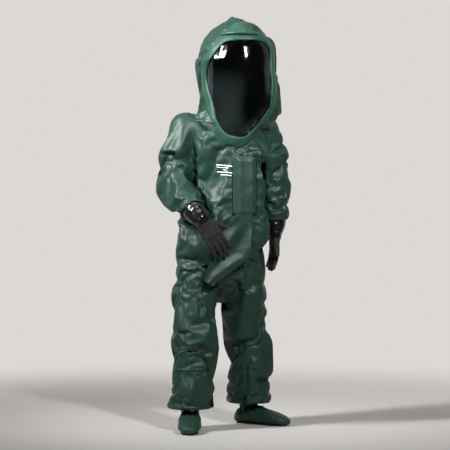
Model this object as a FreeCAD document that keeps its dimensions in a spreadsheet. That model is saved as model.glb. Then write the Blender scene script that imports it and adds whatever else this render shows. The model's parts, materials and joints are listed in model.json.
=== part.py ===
import FreeCAD, Part
import math
import os

V = FreeCAD.Vector

# ---------------------------------------------------------------------------
# Fully encapsulating protective suit, in its worn shape, standing on its feet.
# Millimetres, +Z up. The suit faces -Y, the wearer's left side is +X, and the
# origin is on the floor under the middle of the suit's outer box.
# ---------------------------------------------------------------------------

DOC = FreeCAD.newDocument("protective_suit")
SHEET = DOC.addObject("Spreadsheet::Sheet", "Sizes")

# Driving dimensions: alias, value, meaning.
SIZES = [
    ("fabric_wall", 3.0, "thickness of the coated fabric wall"),
    ("lap_gap", 0.5, "clearance between lapped layers"),
    ("piece_gap", 2.0, "clearance between pieces that follow one another"),
    ("sleeve_radius", 79.0, "upper sleeve"),
    ("elbow_radius", 75.0, "sleeve at the elbow"),
    ("cuff_radius", 51.0, "sleeve end"),
    ("elbow_reach", 68.0, "half length of the soft elbow"),
    ("shoulder_reach", 84.0, "length of the soft shoulder"),
    ("cap_rise", 44.0, "height of the soft shoulder above the joint"),
    ("cap_radius", 24.0, "soft shoulder, at its top"),
    ("armhole_radius", 48.0, "way from the trunk into a sleeve"),
    ("cuff_reach", 66.0, "distance of the sleeve end from the wrist"),
    ("gauntlet_radius", 43.0, "glove gauntlet at the sleeve end"),
    ("wrist_radius", 35.0, "glove at the wrist"),
    ("gauntlet_inside", 22.0, "gauntlet length inside the sleeve"),
    ("glove_wall", 2.0, "thickness of the glove rubber"),
    ("wrist_clear", 17.0, "end of the gauntlet before the wrist's axis"),
    ("palm_length", 96.0, "glove palm"),
    ("palm_half_width", 44.0, "glove palm"),
    ("palm_half_depth", 17.0, "glove palm"),
    ("finger_radius", 11.0, "glove finger"),
    ("hip_top", 858.0, "height of the upper edge of the soft hips"),
    ("hip_bottom", 682.0, "height of the lower edge of the soft hips"),
    ("thigh_start", 116.0, "thigh start below the hip axis, along the leg"),
    ("thigh_radius", 104.0, "trouser leg at the crotch"),
    ("knee_radius", 90.0, "trouser leg at the knee"),
    ("shin_radius", 84.0, "trouser leg end"),
    ("knee_reach", 72.0, "half length of the soft knee"),
    ("shin_end", 62.0, "trouser leg end above the ankle axis"),
    ("guard_top_radius", 89.0, "splash guard, upper edge"),
    ("guard_hem_radius", 96.0, "splash guard, hem"),
    ("guard_length", 190.0, "splash guard"),
    ("guard_drop", 4.0, "hem above the ankle axis"),
    ("guard_slit", 14.0, "width of the side slit at the hem"),
    ("guard_slit_height", 90.0, "height of the side slit"),
    ("sock_radius", 56.0, "bootie leg"),
    ("sock_top", 56.0, "bootie leg height above the ankle axis"),
    ("sole_thick", 4.0, "sole patch"),
    ("closure_x", 70.0, "place of the front closure, off the middle"),
    ("closure_low", 915.0, "lower end of the zipper"),
    ("closure_high", 1200.0, "upper end of the zipper"),
    ("closure_front", -151.0, "front face of the zipper tapes"),
    ("tape_width", 13.0, "one zipper tape"),
    ("tape_thick", 1.5, "one zipper tape"),
    ("teeth_width", 3.0, "closed zipper chain"),
    ("splash_flap_half", 14.0, "half width of the flap behind the zipper"),
    ("flap_width", 76.0, "storm flap over the zipper"),
    ("flap_front", -170.0, "front face of the storm flap"),
    ("flap_thick", 1.6, "storm flap"),
    ("flap_split", 965.0, "height where the flap's loose tail starts"),
    ("piping_radius", 1.6, "corded fold along a sewn flap edge"),
    ("visor_x", 50.0, "middle of the visor"),
    ("window_rear", -72.0, "how far back the visor's sides may reach"),
    ("visor_lap", 12.0, "visor edge held under the fabric"),
    ("visor_thick", 1.5, "clear visor sheet"),
    ("binding_width", 34.0, "binding round the visor"),
    ("side_seam_y", 21.0, "side seams, a little behind the middle"),
    ("valve_height", 1160.0, "exhaust valves on the back"),
    ("valve_spread", 29.0, "valve place round the back, degrees"),
    ("valve_hole", 22.0, "hole radius for a valve hub"),
    ("valve_flange", 33.0, "valve flange radius"),
    ("cover_width", 88.0, "fabric cover over a valve"),
    ("cover_height", 104.0, "fabric cover over a valve"),
]

# Joint centres and finger tips of the standing wearer: x, y, z.
LANDMARKS = {
    "right_shoulder": (-150, 35, 1360),
    "left_shoulder": (205, 5, 1360),
    "right_elbow": (-235, 30, 1104),
    "left_elbow": (290, 15, 1104),
    "right_wrist": (-165, -205, 939),
    "left_wrist": (258, -20, 868),
    "right_fingertip": (-45, -215, 775),
    "left_fingertip": (248, -30, 697),
    "right_hip": (-97, -10, 770),
    "left_hip": (97, 10, 770),
    "right_knee": (-140, -45, 500),
    "left_knee": (140, 45, 500),
    "right_ankle": (-168, -72, 90),
    "left_ankle": (168, 72, 90),
}

# Level sections: height, middle x, middle y, half width, half depth.
TRUNK = {
    "trunk_hem": (862, 0, 4, 186, 134),
    "trunk_waist": (1000, 10, 12, 155, 150),
    "trunk_elbow": (1104, 22, 20, 156, 158),
    "trunk_chest": (1214, 27, 24, 136, 162),
}
YOKE = {
    "yoke_low": (1216, 27, 24, 136, 162),
    "yoke_armpit": (1275, 28, 20, 112, 166),
    "yoke_neck": (1340, 28, 14, 91, 170),
    "yoke_collar": (1378, 30, 8, 86, 174),
    "yoke_top": (1446, 56, -4, 163, 196),
}
HOOD = {
    "hood_base": (1448, 56, -4, 163, 196),
    "hood_cheek": (1560, 62, -8, 176, 203),
    "hood_temple": (1690, 62, -10, 166, 199),
    "hood_brow": (1758, 60, -8, 136, 172),
    "hood_band": (1806, 56, 0, 82, 128),
    "hood_crown": (1850, 50, 8, 36, 66),
}

# Visor outline: height, half width, from the top edge to the bottom edge.
VISOR = {
    "visor_top": (1752, 84),
    "visor_brow": (1702, 142),
    "visor_cheek": (1556, 142),
    "visor_jaw": (1440, 100),
    "visor_chin": (1372, 52),
    "visor_foot": (1334, 22),
}

# Bootie foot sections: place along the foot from the ankle, half width, half height.
FOOT = {
    "foot_heel": (-66, 26, 24),
    "foot_back": (-44, 40, 36),
    "foot_ankle": (6, 47, 44),
    "foot_instep": (84, 51, 36),
    "foot_ball": (146, 52, 27),
    "foot_toes": (196, 40, 19),
    "foot_tip": (214, 20, 10),
}
FOOT_DIRECTION = {"right": V(-0.34, -0.94, 0), "left": V(0.60, -0.80, 0)}

SECTION_FIELDS = ("up", "mid_x", "mid_y", "half_x", "half_y")


def fill_sheet():
    """Writes every driving dimension to the sheet as a plain number with an alias."""
    row = 1

    def add(alias, value):
        nonlocal row
        SHEET.set("A%d" % row, alias)
        SHEET.set("B%d" % row, str(value))
        SHEET.setAlias("B%d" % row, alias)
        row += 1

    for alias, value, _meaning in SIZES:
        add(alias, value)
    for point, place in LANDMARKS.items():
        for axis, value in zip("xyz", place):
            add("%s_%s" % (point, axis), value)
    for table in (TRUNK, YOKE, HOOD):
        for section, values in table.items():
            for field, value in zip(SECTION_FIELDS, values):
                add("%s_%s" % (section, field), value)
    for level, values in VISOR.items():
        for field, value in zip(("up", "half"), values):
            add("%s_%s" % (level, field), value)
    for section, values in FOOT.items():
        for field, value in zip(("along", "half_wide", "half_high"), values):
            add("%s_%s" % (section, field), value)
    DOC.recompute()


def size(alias):
    return float(SHEET.get(alias))


def point(name):
    return V(size(name + "_x"), size(name + "_y"), size(name + "_z"))


def along(name_a, name_b, distance):
    """The point at a distance from one landmark towards another."""
    start, end = point(name_a), point(name_b)
    return start + (end - start).normalize() * distance


def bind(obj, **expressions):
    """Binds properties of an object to expressions of sheet cells."""
    for prop, text in expressions.items():
        obj.setExpression(prop, text)
    return obj


def make(kind, label, **expressions):
    return bind(DOC.addObject(kind, label), **expressions)


def cut(label, base, *tools):
    """Subtracts tools from a base, one Part::Cut after another; the last has the label."""
    for number, tool in enumerate(tools):
        last = number == len(tools) - 1
        step = DOC.addObject("Part::Cut", label if last else label + "_step%d" % number)
        step.Base = base
        step.Tool = tool
        step.Refine = False  # refining merges neighbouring ruled faces into a wrong one
        base = step
    return base


def common(label, base, tool):
    obj = DOC.addObject("Part::Common", label)
    obj.Base = base
    obj.Tool = tool
    obj.Refine = False
    return obj


def fuse(label, parts):
    obj = DOC.addObject("Part::MultiFuse", label)
    obj.Shapes = parts
    obj.Refine = False
    return obj


def box(label, low, high):
    obj = DOC.addObject("Part::Box", label)
    obj.Length, obj.Width, obj.Height = high[0] - low[0], high[1] - low[1], high[2] - low[2]
    obj.Placement.Base = V(*low)
    return obj


def frame_along(start, direction, side=None):
    """A placement at start whose Z runs along direction and whose X is near side."""
    if side is None:
        return FreeCAD.Placement(start, FreeCAD.Rotation(V(0, 0, 1), direction))
    return FreeCAD.Placement(start, FreeCAD.Rotation(side, V(0, 0, 0), direction, "ZXY"))


# ---------------------------------------------------------------------------
# Sleeve and leg tubes
# ---------------------------------------------------------------------------

def tube(label, start, end, radius_start, radius_end, wall="Sizes.fabric_wall"):
    """A hollow tapered tube between two points; the radii are sheet expressions."""
    length = (end - start).Length
    placement = frame_along(start, end - start)
    cones = []
    for part, less in (("outer", "0"), ("inner", wall)):
        cone = make("Part::Cone", label + "_" + part,
                    Radius1="(%s) - (%s)" % (radius_start, less),
                    Radius2="(%s) - (%s)" % (radius_end, less))
        cone.Height = length
        cone.Placement = placement
        cones.append(cone)
    return cut(label, *cones)


def bent_tube(label, before, corner, after, reach, radius):
    """A hollow tube round a bend: a piece of a ring tangent to both limb axes."""
    first = (corner - before).normalize()
    second = (after - corner).normalize()
    turn = math.acos(first.dot(second))
    bend = reach / math.tan(turn / 2)
    normal = first.cross(second).normalize()
    inward = normal.cross(first).normalize()
    centre = corner - first * reach + inward * bend
    placement = FreeCAD.Placement(centre, FreeCAD.Rotation(-inward, first, normal, "ZXY"))
    rings = []
    for part, less in (("outer", "0"), ("inner", "Sizes.fabric_wall")):
        ring = make("Part::Torus", label + "_" + part,
                    Radius2="%s - %s" % (radius, less))
        ring.Radius1 = bend
        ring.Angle3 = math.degrees(turn)
        ring.Placement = placement
        rings.append(ring)
    return cut(label, *rings)


# ---------------------------------------------------------------------------
# Lofts through level ellipses
# ---------------------------------------------------------------------------

def level_loft(label, sections, grow, top_drop=0):
    """A ruled loft through level ellipses, each grown by an expression."""
    rings = []
    names = list(sections)
    for name in names:
        half_x, half_y = size(name + "_half_x"), size(name + "_half_y")
        wide, deep = ("half_x", "half_y") if half_x >= half_y else ("half_y", "half_x")
        ring = make("Part::Ellipse", "%s_%s" % (label, name),
                    MajorRadius="Sizes.%s_%s + %s" % (name, wide, grow),
                    MinorRadius="Sizes.%s_%s + %s" % (name, deep, grow))
        drop = top_drop if name == names[-1] else 0
        base = V(size(name + "_mid_x"), size(name + "_mid_y"), size(name + "_up") - drop)
        turn = 0 if half_x >= half_y else 90
        if half_x >= half_y:
            # every section starts at the middle of the back, so that the loft isn't twisted
            ring.Angle1 = 90
            ring.Angle2 = 90
        ring.Placement = FreeCAD.Placement(base, FreeCAD.Rotation(V(0, 0, 1), turn))
        rings.append(ring)
    loft = DOC.addObject("Part::Loft", label)
    loft.Sections = rings
    loft.Solid = True
    loft.Ruled = True
    return loft


def level_shell(label, sections, outer="0", inner="-Sizes.fabric_wall", closed_top=False):
    solid = level_loft(label + "_outer", sections, outer)
    drop = size("fabric_wall") if closed_top else 0
    hollow = level_loft(label + "_inner", sections, inner, drop)
    return cut(label, solid, hollow)


def visor_prism(label, grow):
    """The visor outline, grown all round, pushed forwards through the hood's front."""
    levels = [(size(name + "_half") + grow, size(name + "_up")) for name in VISOR]
    levels[0] = (levels[0][0], levels[0][1] + grow)
    levels[-1] = (levels[-1][0], levels[-1][1] - grow)
    middle = size("visor_x")
    rear = size("window_rear")
    outline = [V(middle - half, rear, up) for half, up in levels]
    outline += [V(middle + half, rear, up) for half, up in reversed(levels)]
    face = Part.Face(Part.makePolygon(outline + outline[:1]))
    prism = DOC.addObject("Part::Feature", label)
    prism.Shape = face.extrude(V(0, -250, 0))
    return prism


# ---------------------------------------------------------------------------
# Trunk, yoke and hood
# ---------------------------------------------------------------------------

def armhole(label):
    """The bar through both shoulders that cuts the armholes."""
    right, left = point("right_shoulder"), point("left_shoulder")
    drop = V(0, 0, size("armhole_radius"))
    bar = make("Part::Cylinder", label, Radius="Sizes.armhole_radius")
    bar.Height = (left - right).Length
    bar.Placement = frame_along(right - drop, left - right)
    return bar


def trunk_panels():
    """Two front panels either side of the closure and one back panel."""
    gap = size("piece_gap") / 2
    seam_y = size("side_seam_y")
    closure = size("closure_x")
    half_slot = size("tape_width") + size("teeth_width") / 2 + gap
    low, high = 800, 1250
    halves = {
        "front_panel_right": (V(-300, -300, low), V(closure - half_slot, seam_y - gap, high)),
        "front_panel_left": (V(closure + half_slot, -300, low), V(400, seam_y - gap, high)),
        "back_panel": (V(-300, seam_y + gap, low), V(400, 300, high)),
    }
    panels = []
    for label, (corner_low, corner_high) in halves.items():
        shell = level_shell(label + "_shell", TRUNK)
        region = box(label + "_region", corner_low, corner_high)
        panel = common(label if label != "back_panel" else "back_panel_blank", shell, region)
        panels.append(panel)
    holes = []
    for side in ("right", "left"):
        hole = make("Part::Cylinder", "valve_hole_" + side, Radius="Sizes.valve_hole")
        hole.Height = 60
        placement = valve_frame(side)
        placement.Base = placement.Base - placement.Rotation.multVec(V(0, 0, 30))
        hole.Placement = placement
        holes.append(hole)
    panels[2] = cut("back_panel", panels[2], *holes)
    return panels


def closure_filler():
    """The strip of front fabric below the zipper, joining the two front panels."""
    gap = size("piece_gap") / 2
    closure = size("closure_x")
    half_slot = size("tape_width") + size("teeth_width") / 2
    shell = level_shell("front_gusset_shell", TRUNK)
    region = box("front_gusset_region", V(closure - half_slot, -300, 800),
                 V(closure + half_slot, 0, size("closure_low") - 3 * gap))
    return common("front_gusset", shell, region)


def yoke_and_hood():
    yoke = level_shell("yoke_shell", YOKE)
    hood = level_shell("hood_blank", HOOD, closed_top=True)
    yoke = cut("yoke_panel", yoke, armhole("yoke_armhole"), visor_prism("yoke_window", 0))
    hood = cut("hood_shell", hood, visor_prism("hood_window", 0))
    return [yoke, hood]


def face_layer(label, outer, inner, grow_out, grow_in=None):
    """A layer that follows the hood's front, inside one outline and outside another."""
    sections = {**YOKE, **{name: HOOD[name] for name in list(HOOD)[1:]}}
    shell = level_shell(label + "_shell", sections, outer, inner)
    if grow_in is None:
        return common(label, shell, visor_prism(label + "_outline", grow_out))
    ring = common(label + "_ring", shell, visor_prism(label + "_outline", grow_out))
    return cut(label, ring, visor_prism(label + "_window", grow_in))


def visor_parts():
    lap = size("visor_lap")
    wide = size("binding_width")
    visor = face_layer("visor", "-Sizes.fabric_wall - Sizes.lap_gap",
                       "-Sizes.fabric_wall - Sizes.lap_gap - Sizes.visor_thick", lap)
    binding = face_layer("visor_binding", "2", "Sizes.lap_gap", wide - lap, -lap)
    tape = face_layer("visor_inner_tape",
                      "-Sizes.fabric_wall - 2 * Sizes.lap_gap - Sizes.visor_thick",
                      "-Sizes.fabric_wall - 2 * Sizes.lap_gap - Sizes.visor_thick - 1",
                      lap, -lap)
    return [visor, binding, tape]


def hood_brim():
    """The doubled band of fabric across the brow, over the visor's upper edge."""
    shell = level_shell("hood_brim_shell", {n: HOOD[n] for n in ("hood_brow", "hood_band", "hood_crown")},
                        "2.4", "Sizes.lap_gap")
    low = size("visor_top_up") + size("binding_width") - size("visor_lap") + 1
    region = box("hood_brim_region", V(-100, -300, low), V(220, -60, size("hood_band_up") + 14))
    return common("hood_brim", shell, region)


# ---------------------------------------------------------------------------
# Front closure
# ---------------------------------------------------------------------------

def closure_strip(label, x_low, x_high, front, thick, low, high):
    return box(label, V(x_low, front, low), V(x_high, front + thick, high))


def zipper():
    middle = size("closure_x")
    half_teeth = size("teeth_width") / 2
    wide, thick = size("tape_width"), size("tape_thick")
    low, high = size("closure_low"), size("closure_high")
    front = size("closure_front")
    gap = 0.3
    half_flap = size("splash_flap_half")
    right = closure_strip("zipper_tape_right", middle - half_teeth - wide, middle - half_teeth - gap,
                          front, thick, low, high)
    left = closure_strip("zipper_tape_left", middle + half_teeth + gap, middle + half_teeth + wide,
                         front, thick, low, high)
    teeth = closure_strip("zipper_teeth", middle - half_teeth, middle + half_teeth,
                          front - 1, thick + 1, low + 12, high - 12)
    stops = [closure_strip("zipper_stop_low", middle - 4, middle + 4, front - 2.4, 2, low, low + 9),
             closure_strip("zipper_stop_high", middle - 4, middle + 4, front - 2.4, 2,
                           high - 9, high)]
    stop_group = DOC.addObject("Part::Compound", "zipper_stops")
    stop_group.Links = stops
    flap = closure_strip("inner_splash_flap", middle - half_flap, middle + half_flap, front + 26, 1.5,
                         low + 10, high - 10)
    return [right, left, teeth, stop_group, flap]


def zipper_slider():
    """Slider body: a wedge plate with rounded edges and a bridge for the pull."""
    body = DOC.addObject("PartDesign::Body", "zipper_slider")
    sketch = body.newObject("Sketcher::SketchObject", "slider_outline")
    plane = [f for f in body.Origin.OriginFeatures if f.Role == "XZ_Plane"][0]
    sketch.AttachmentSupport = (plane, "")
    sketch.MapMode = "FlatFace"
    corners = [V(-5, 0, 0), V(5, 0, 0), V(8, 22, 0), V(-8, 22, 0)]
    for start, end in zip(corners, corners[1:] + corners[:1]):
        sketch.addGeometry(Part.LineSegment(start, end))
    pad = body.newObject("PartDesign::Pad", "slider_plate")
    pad.Profile = sketch
    pad.Length = 4
    DOC.recompute()
    rounded = body.newObject("PartDesign::Fillet", "slider_round")
    rounded.Base = (pad, ["Edge1", "Edge2", "Edge3", "Edge4"])
    rounded.Radius = 1
    DOC.recompute()
    body.Placement.Base = V(size("closure_x"), size("closure_front") - 1.5, size("closure_low") + 14)
    return body


def storm_flap():
    """Flap sewn along one edge by a corded fold, with its hook strip behind it."""
    edge = size("closure_x") + 26
    low, high = size("flap_split"), size("closure_high") + 12
    front, thick = size("flap_front"), size("flap_thick")
    sheet = closure_strip("storm_flap_sheet", edge - size("flap_width"), edge, front, thick, low, high)
    cord = make("Part::Cylinder", "storm_flap_fold", Radius="Sizes.piping_radius")
    cord.Height = high - low
    cord.Placement.Base = V(edge, front + thick / 2, low)
    flap = fuse("storm_flap", [sheet, cord])
    hooks = closure_strip("flap_hook_strip", edge - size("flap_width") + 4,
                          edge - size("flap_width") + 24, front + thick + 0.2, 1.2, low + 8, high - 8)
    loops = closure_strip("flap_loop_strip", edge - size("flap_width") + 4,
                          edge - size("flap_width") + 24, front + thick + 2.2, 1.2, low + 8, high - 8)
    mount = closure_strip("flap_loop_backing", edge - size("flap_width") + 1,
                          edge - size("flap_width") + 27, front + thick + 3.6, 12, low + 8, high - 8)
    return [flap, hooks, loops, mount]


def flap_tail():
    """The loose lower end of the flap, hanging over the wearer's right thigh."""
    edge = size("closure_x") + 26
    top = size("flap_split") - size("piece_gap")
    front = size("flap_front")
    outline = [V(edge, front, top), V(edge - 20, front, 762), V(-95, front, 642),
               V(-146, front, 672), V(-70, front, 840), V(edge - size("flap_width"), front, top)]
    face = Part.Face(Part.makePolygon(outline + outline[:1]))
    tail = DOC.addObject("Part::Feature", "storm_flap_tail")
    tail.Shape = face.extrude(V(0, size("flap_thick"), 0))
    return tail


def chest_label():
    """Blank rectangular label on the right breast."""
    shell = level_shell("chest_label_shell", TRUNK, "2", "Sizes.lap_gap")
    region = box("chest_label_region", V(-62, -300, 1128), V(24, 0, 1168))
    return common("chest_label", shell, region)


# ---------------------------------------------------------------------------
# Exhaust valves on the back
# ---------------------------------------------------------------------------

def valve_frame(side):
    """Placement on the back's outer face: Z outwards, X across, Y up."""
    angle = math.radians(size("valve_spread")) * (-1 if side == "right" else 1)
    low, high = "trunk_elbow", "trunk_chest"
    share = (size("valve_height") - size(low + "_up")) / (size(high + "_up") - size(low + "_up"))

    def at_height(field):
        return size(low + field) + share * (size(high + field) - size(low + field))

    half_x, half_y = at_height("_half_x"), at_height("_half_y")
    base = V(at_height("_mid_x") + half_x * math.sin(angle),
             at_height("_mid_y") + half_y * math.cos(angle), size("valve_height"))
    outward = V(math.sin(angle) / half_x, math.cos(angle) / half_y, 0).normalize()
    across = V(0, 0, 1).cross(outward)
    return FreeCAD.Placement(base, FreeCAD.Rotation(across, V(0, 0, 1), outward, "ZXY"))


def turned_body(label, profile, placement):
    """A PartDesign body revolved about Z; the profile lists radius and height pairs."""
    body = DOC.addObject("PartDesign::Body", label)
    sketch = body.newObject("Sketcher::SketchObject", label + "_profile")
    plane = [f for f in body.Origin.OriginFeatures if f.Role == "XZ_Plane"][0]
    sketch.AttachmentSupport = (plane, "")
    sketch.MapMode = "FlatFace"
    corners = [V(radius, height, 0) for radius, height in profile]
    for start, end in zip(corners, corners[1:] + corners[:1]):
        sketch.addGeometry(Part.LineSegment(start, end))
    turned = body.newObject("PartDesign::Revolution", label + "_turned")
    turned.Profile = sketch
    turned.ReferenceAxis = (sketch, ["V_Axis"])
    turned.Angle = 360
    DOC.recompute()
    body.Placement = placement
    return body


def valve(side):
    placement = valve_frame(side)
    hub, flange = size("valve_hole") - 1, size("valve_flange")
    # the flange stands clear of the curved fabric, and its hub reaches in through the hole
    body = turned_body("valve_body_" + side,
                       [(hub - 3, -14), (hub, -14), (hub, 4), (flange, 4), (flange, 7), (hub - 3, 7)],
                       placement)
    nut = turned_body("valve_nut_" + side,
                      [(hub + 0.3, -13), (flange - 4, -13), (flange - 4, -8), (hub + 0.3, -8)],
                      placement)
    disc = turned_body("valve_diaphragm_" + side,
                       [(0, 7.3), (hub + 3, 7.3), (hub + 3, 8.3), (0, 8.3)], placement)
    cap = turned_body("valve_cap_" + side,
                      [(0, 13), (flange - 3, 13), (flange - 3, 7.3), (flange, 7.3), (flange, 15),
                       (flange - 2, 17), (0, 17)], placement)
    sheet = DOC.addObject("Part::Box", "valve_cover_sheet_" + side)
    bind(sheet, Length="Sizes.cover_width", Width="Sizes.cover_height", Height="Sizes.flap_thick")
    wide, tall, thick = size("cover_width"), size("cover_height"), size("flap_thick")
    lift = 19
    sheet.Placement = placement.multiply(FreeCAD.Placement(V(-wide / 2, -tall / 2, lift),
                                                           FreeCAD.Rotation()))
    fold = make("Part::Cylinder", "valve_cover_fold_" + side, Radius="Sizes.piping_radius",
                Height="Sizes.cover_width")
    fold.Placement = placement.multiply(FreeCAD.Placement(V(-wide / 2, tall / 2, lift + thick / 2),
                                                          FreeCAD.Rotation(V(0, 1, 0), 90)))
    cover = fuse("valve_cover_" + side, [sheet, fold])
    return [body, nut, disc, cap, cover]


# ---------------------------------------------------------------------------
# Arms
# ---------------------------------------------------------------------------

def sleeve(side):
    shoulder, elbow, wrist = side + "_shoulder", side + "_elbow", side + "_wrist"
    gap = size("piece_gap")
    upper_length = (point(elbow) - point(shoulder)).Length
    fore_length = (point(wrist) - point(elbow)).Length
    reach = size("elbow_reach")
    soft = tube("shoulder_tube_" + side, point(shoulder),
                along(shoulder, elbow, size("shoulder_reach")),
                "Sizes.sleeve_radius", "Sizes.sleeve_radius")
    cap = tube("shoulder_cap_" + side, along(shoulder, elbow, -size("cap_rise")), point(shoulder),
               "Sizes.cap_radius", "Sizes.sleeve_radius")
    lid = tube("shoulder_lid_" + side, along(shoulder, elbow, -size("cap_rise")),
               along(shoulder, elbow, -size("cap_rise") + size("fabric_wall")),
               "Sizes.cap_radius", "Sizes.cap_radius + 1", "Sizes.cap_radius - 1")
    soft = fuse("shoulder_blank_" + side, [soft, cap, lid])
    soft = cut("shoulder_gusset_" + side, soft, armhole("gusset_armhole_" + side))
    upper = tube("upper_sleeve_" + side, along(shoulder, elbow, size("shoulder_reach") + gap),
                 along(shoulder, elbow, upper_length - reach - gap),
                 "Sizes.sleeve_radius", "Sizes.elbow_radius")
    bend = bent_tube("elbow_gusset_" + side, point(shoulder), point(elbow), point(wrist),
                     reach, "Sizes.elbow_radius")
    lower = tube("lower_sleeve_" + side, along(elbow, wrist, reach + gap),
                 along(elbow, wrist, fore_length - size("cuff_reach")),
                 "Sizes.elbow_radius", "Sizes.cuff_radius")
    return [soft, upper, bend, lower]


def hand_frame(side):
    """Placement at the wrist: Z to the finger tips, X to the thumb's side."""
    wrist, tip = point(side + "_wrist"), point(side + "_fingertip")
    thumb_side = V(0.81, 0, 0.59) if side == "right" else V(0, -1, 0.06)
    return frame_along(wrist, tip - wrist, thumb_side)


def capsule(label, start, end, radius):
    """A round-ended finger as one turned solid."""
    direction = end - start
    rod = Part.makeCylinder(radius, direction.Length, start, direction)
    return rod.fuse(Part.makeSphere(radius, end))


def hand_solid(side, less):
    """Palm and fingers, drawn in by less all round, in the hand's own frame."""
    wide, deep = size("palm_half_width") - less, size("palm_half_depth") - less
    wrist, long = size("wrist_radius") - less, size("palm_length")
    radius = size("finger_radius") - less
    tip = (point(side + "_fingertip") - point(side + "_wrist")).Length
    start = 10
    sections = []
    for height, half_wide, half_deep in ((start, wrist, wrist * 0.8), (46, wide, deep + 2),
                                         (long - less, wide - 2, deep - 3)):
        ring = Part.Ellipse(V(0, 0, height), half_wide, half_deep).toShape()
        sections.append(Part.Wire([ring]))
    solid = Part.makeLoft(sections, True, True)
    for number in range(4):
        place = (1.5 - number) * 21
        shorter = (6, 0, 5, 19)[number]
        end = V(place * 0.96, 0, tip - shorter - size("finger_radius"))
        solid = solid.fuse(capsule("finger", V(place, 0, long - 22), end, radius))
    thumb_end = V(size("palm_half_width") + 20, -12, long + 4)
    solid = solid.fuse(capsule("thumb", V(22, -2, 34), thumb_end, radius + 1))
    return solid.removeSplitter()


def glove(side):
    elbow, wrist = side + "_elbow", side + "_wrist"
    length = (point(wrist) - point(elbow)).Length
    cuff = length - size("cuff_reach")
    gauntlet = tube("gauntlet_" + side, along(elbow, wrist, cuff - size("gauntlet_inside")),
                    along(elbow, wrist, length - size("wrist_clear")),
                    "Sizes.gauntlet_radius", "Sizes.wrist_radius", "Sizes.glove_wall")
    ring = tube("glove_ring_" + side, along(elbow, wrist, cuff - 16), along(elbow, wrist, cuff - 2),
                "Sizes.cuff_radius - Sizes.fabric_wall", "Sizes.cuff_radius - Sizes.fabric_wall - 0.6",
                "2.8")
    hand = DOC.addObject("Part::Feature", "glove_hand_" + side)
    hand.Shape = hand_solid(side, 0).cut(hand_solid(side, size("glove_wall")))
    hand.Placement = hand_frame(side)
    return [gauntlet, ring, hand]


# ---------------------------------------------------------------------------
# Legs
# ---------------------------------------------------------------------------

def soft_hip(side):
    """The soft trouser top of one side, from the trunk's hem to the leg."""
    sign = -1 if side == "right" else 1
    hip, knee = point(side + "_hip"), point(side + "_knee")
    share = (hip.z - size("hip_bottom")) / (hip.z - knee.z)
    foot = hip + (knee - hip) * share
    solids = []
    for less in (0, size("fabric_wall")):
        top = Part.Ellipse(V(0, 0, 0), 129 - less, 91 - less).toShape()
        top.Placement = FreeCAD.Placement(V(sign * 93, 4, size("hip_top")),
                                          FreeCAD.Rotation(V(0, 0, 1), 90))
        low = Part.Circle(V(foot.x, foot.y, size("hip_bottom")), V(0, 0, 1),
                          size("thigh_radius") - less).toShape()
        solids.append(Part.makeLoft([Part.Wire([top]), Part.Wire([low])], True, True))
    obj = DOC.addObject("Part::Feature", "hip_gusset_" + side)
    obj.Shape = solids[0].cut(solids[1])
    return obj


def trouser_leg(side):
    hip, knee, ankle = side + "_hip", side + "_knee", side + "_ankle"
    gap, reach = size("piece_gap"), size("knee_reach")
    thigh_length = (point(knee) - point(hip)).Length
    shin_length = (point(ankle) - point(knee)).Length
    thigh = tube("thigh_" + side, along(hip, knee, size("thigh_start")),
                 along(hip, knee, thigh_length - reach - gap),
                 "Sizes.thigh_radius", "Sizes.knee_radius")
    bend = bent_tube("knee_gusset_" + side, point(hip), point(knee), point(ankle),
                     reach, "Sizes.knee_radius")
    shin = tube("shin_" + side, along(knee, ankle, reach + gap),
                along(knee, ankle, shin_length - size("shin_end")),
                "Sizes.knee_radius - 2", "Sizes.shin_radius - 2")
    return [soft_hip(side), thigh, bend, shin]


def splash_guard(side):
    """Outer cuff over the bootie, with a slit at its outer side."""
    knee, ankle = side + "_knee", side + "_ankle"
    length = (point(ankle) - point(knee)).Length
    hem = length - size("guard_drop")
    blank = tube("splash_guard_blank_" + side, along(knee, ankle, hem - size("guard_length")),
                 along(knee, ankle, hem), "Sizes.guard_top_radius", "Sizes.guard_hem_radius")
    slit = make("Part::Box", "splash_guard_slit_" + side,
                Length="2 * Sizes.guard_hem_radius", Width="Sizes.guard_slit",
                Height="Sizes.guard_slit_height")
    direction = (point(ankle) - point(knee)).normalize()
    outward = V(-1 if side == "right" else 1, 0, 0)
    base = along(knee, ankle, hem + 1) - direction * size("guard_slit_height")
    slit.Placement = frame_along(base, direction, outward)
    across = slit.Placement.Rotation.multVec(V(0, size("guard_slit") / 2, 0))
    slit.Placement.Base = base - across
    return cut("splash_guard_" + side, blank, slit)


def foot_solid(less):
    """The bootie's foot, drawn in by less all round, X forwards from the ankle axis."""
    sections = []
    base = size("sole_thick") + size("lap_gap")
    for name in FOOT:
        half_high = size(name + "_half_high")
        ring = Part.Ellipse(V(0, 0, 0), *sorted((size(name + "_half_wide") - less,
                                                 half_high - less), reverse=True)).toShape()
        flat = FreeCAD.Rotation(V(0, 1, 0), V(0, 0, 1), V(1, 0, 0), "ZXY")
        ring.Placement = FreeCAD.Placement(V(size(name + "_along"), 0, base + half_high), flat)
        sections.append(Part.Wire([ring]))
    return Part.makeLoft(sections, True, True)


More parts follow.
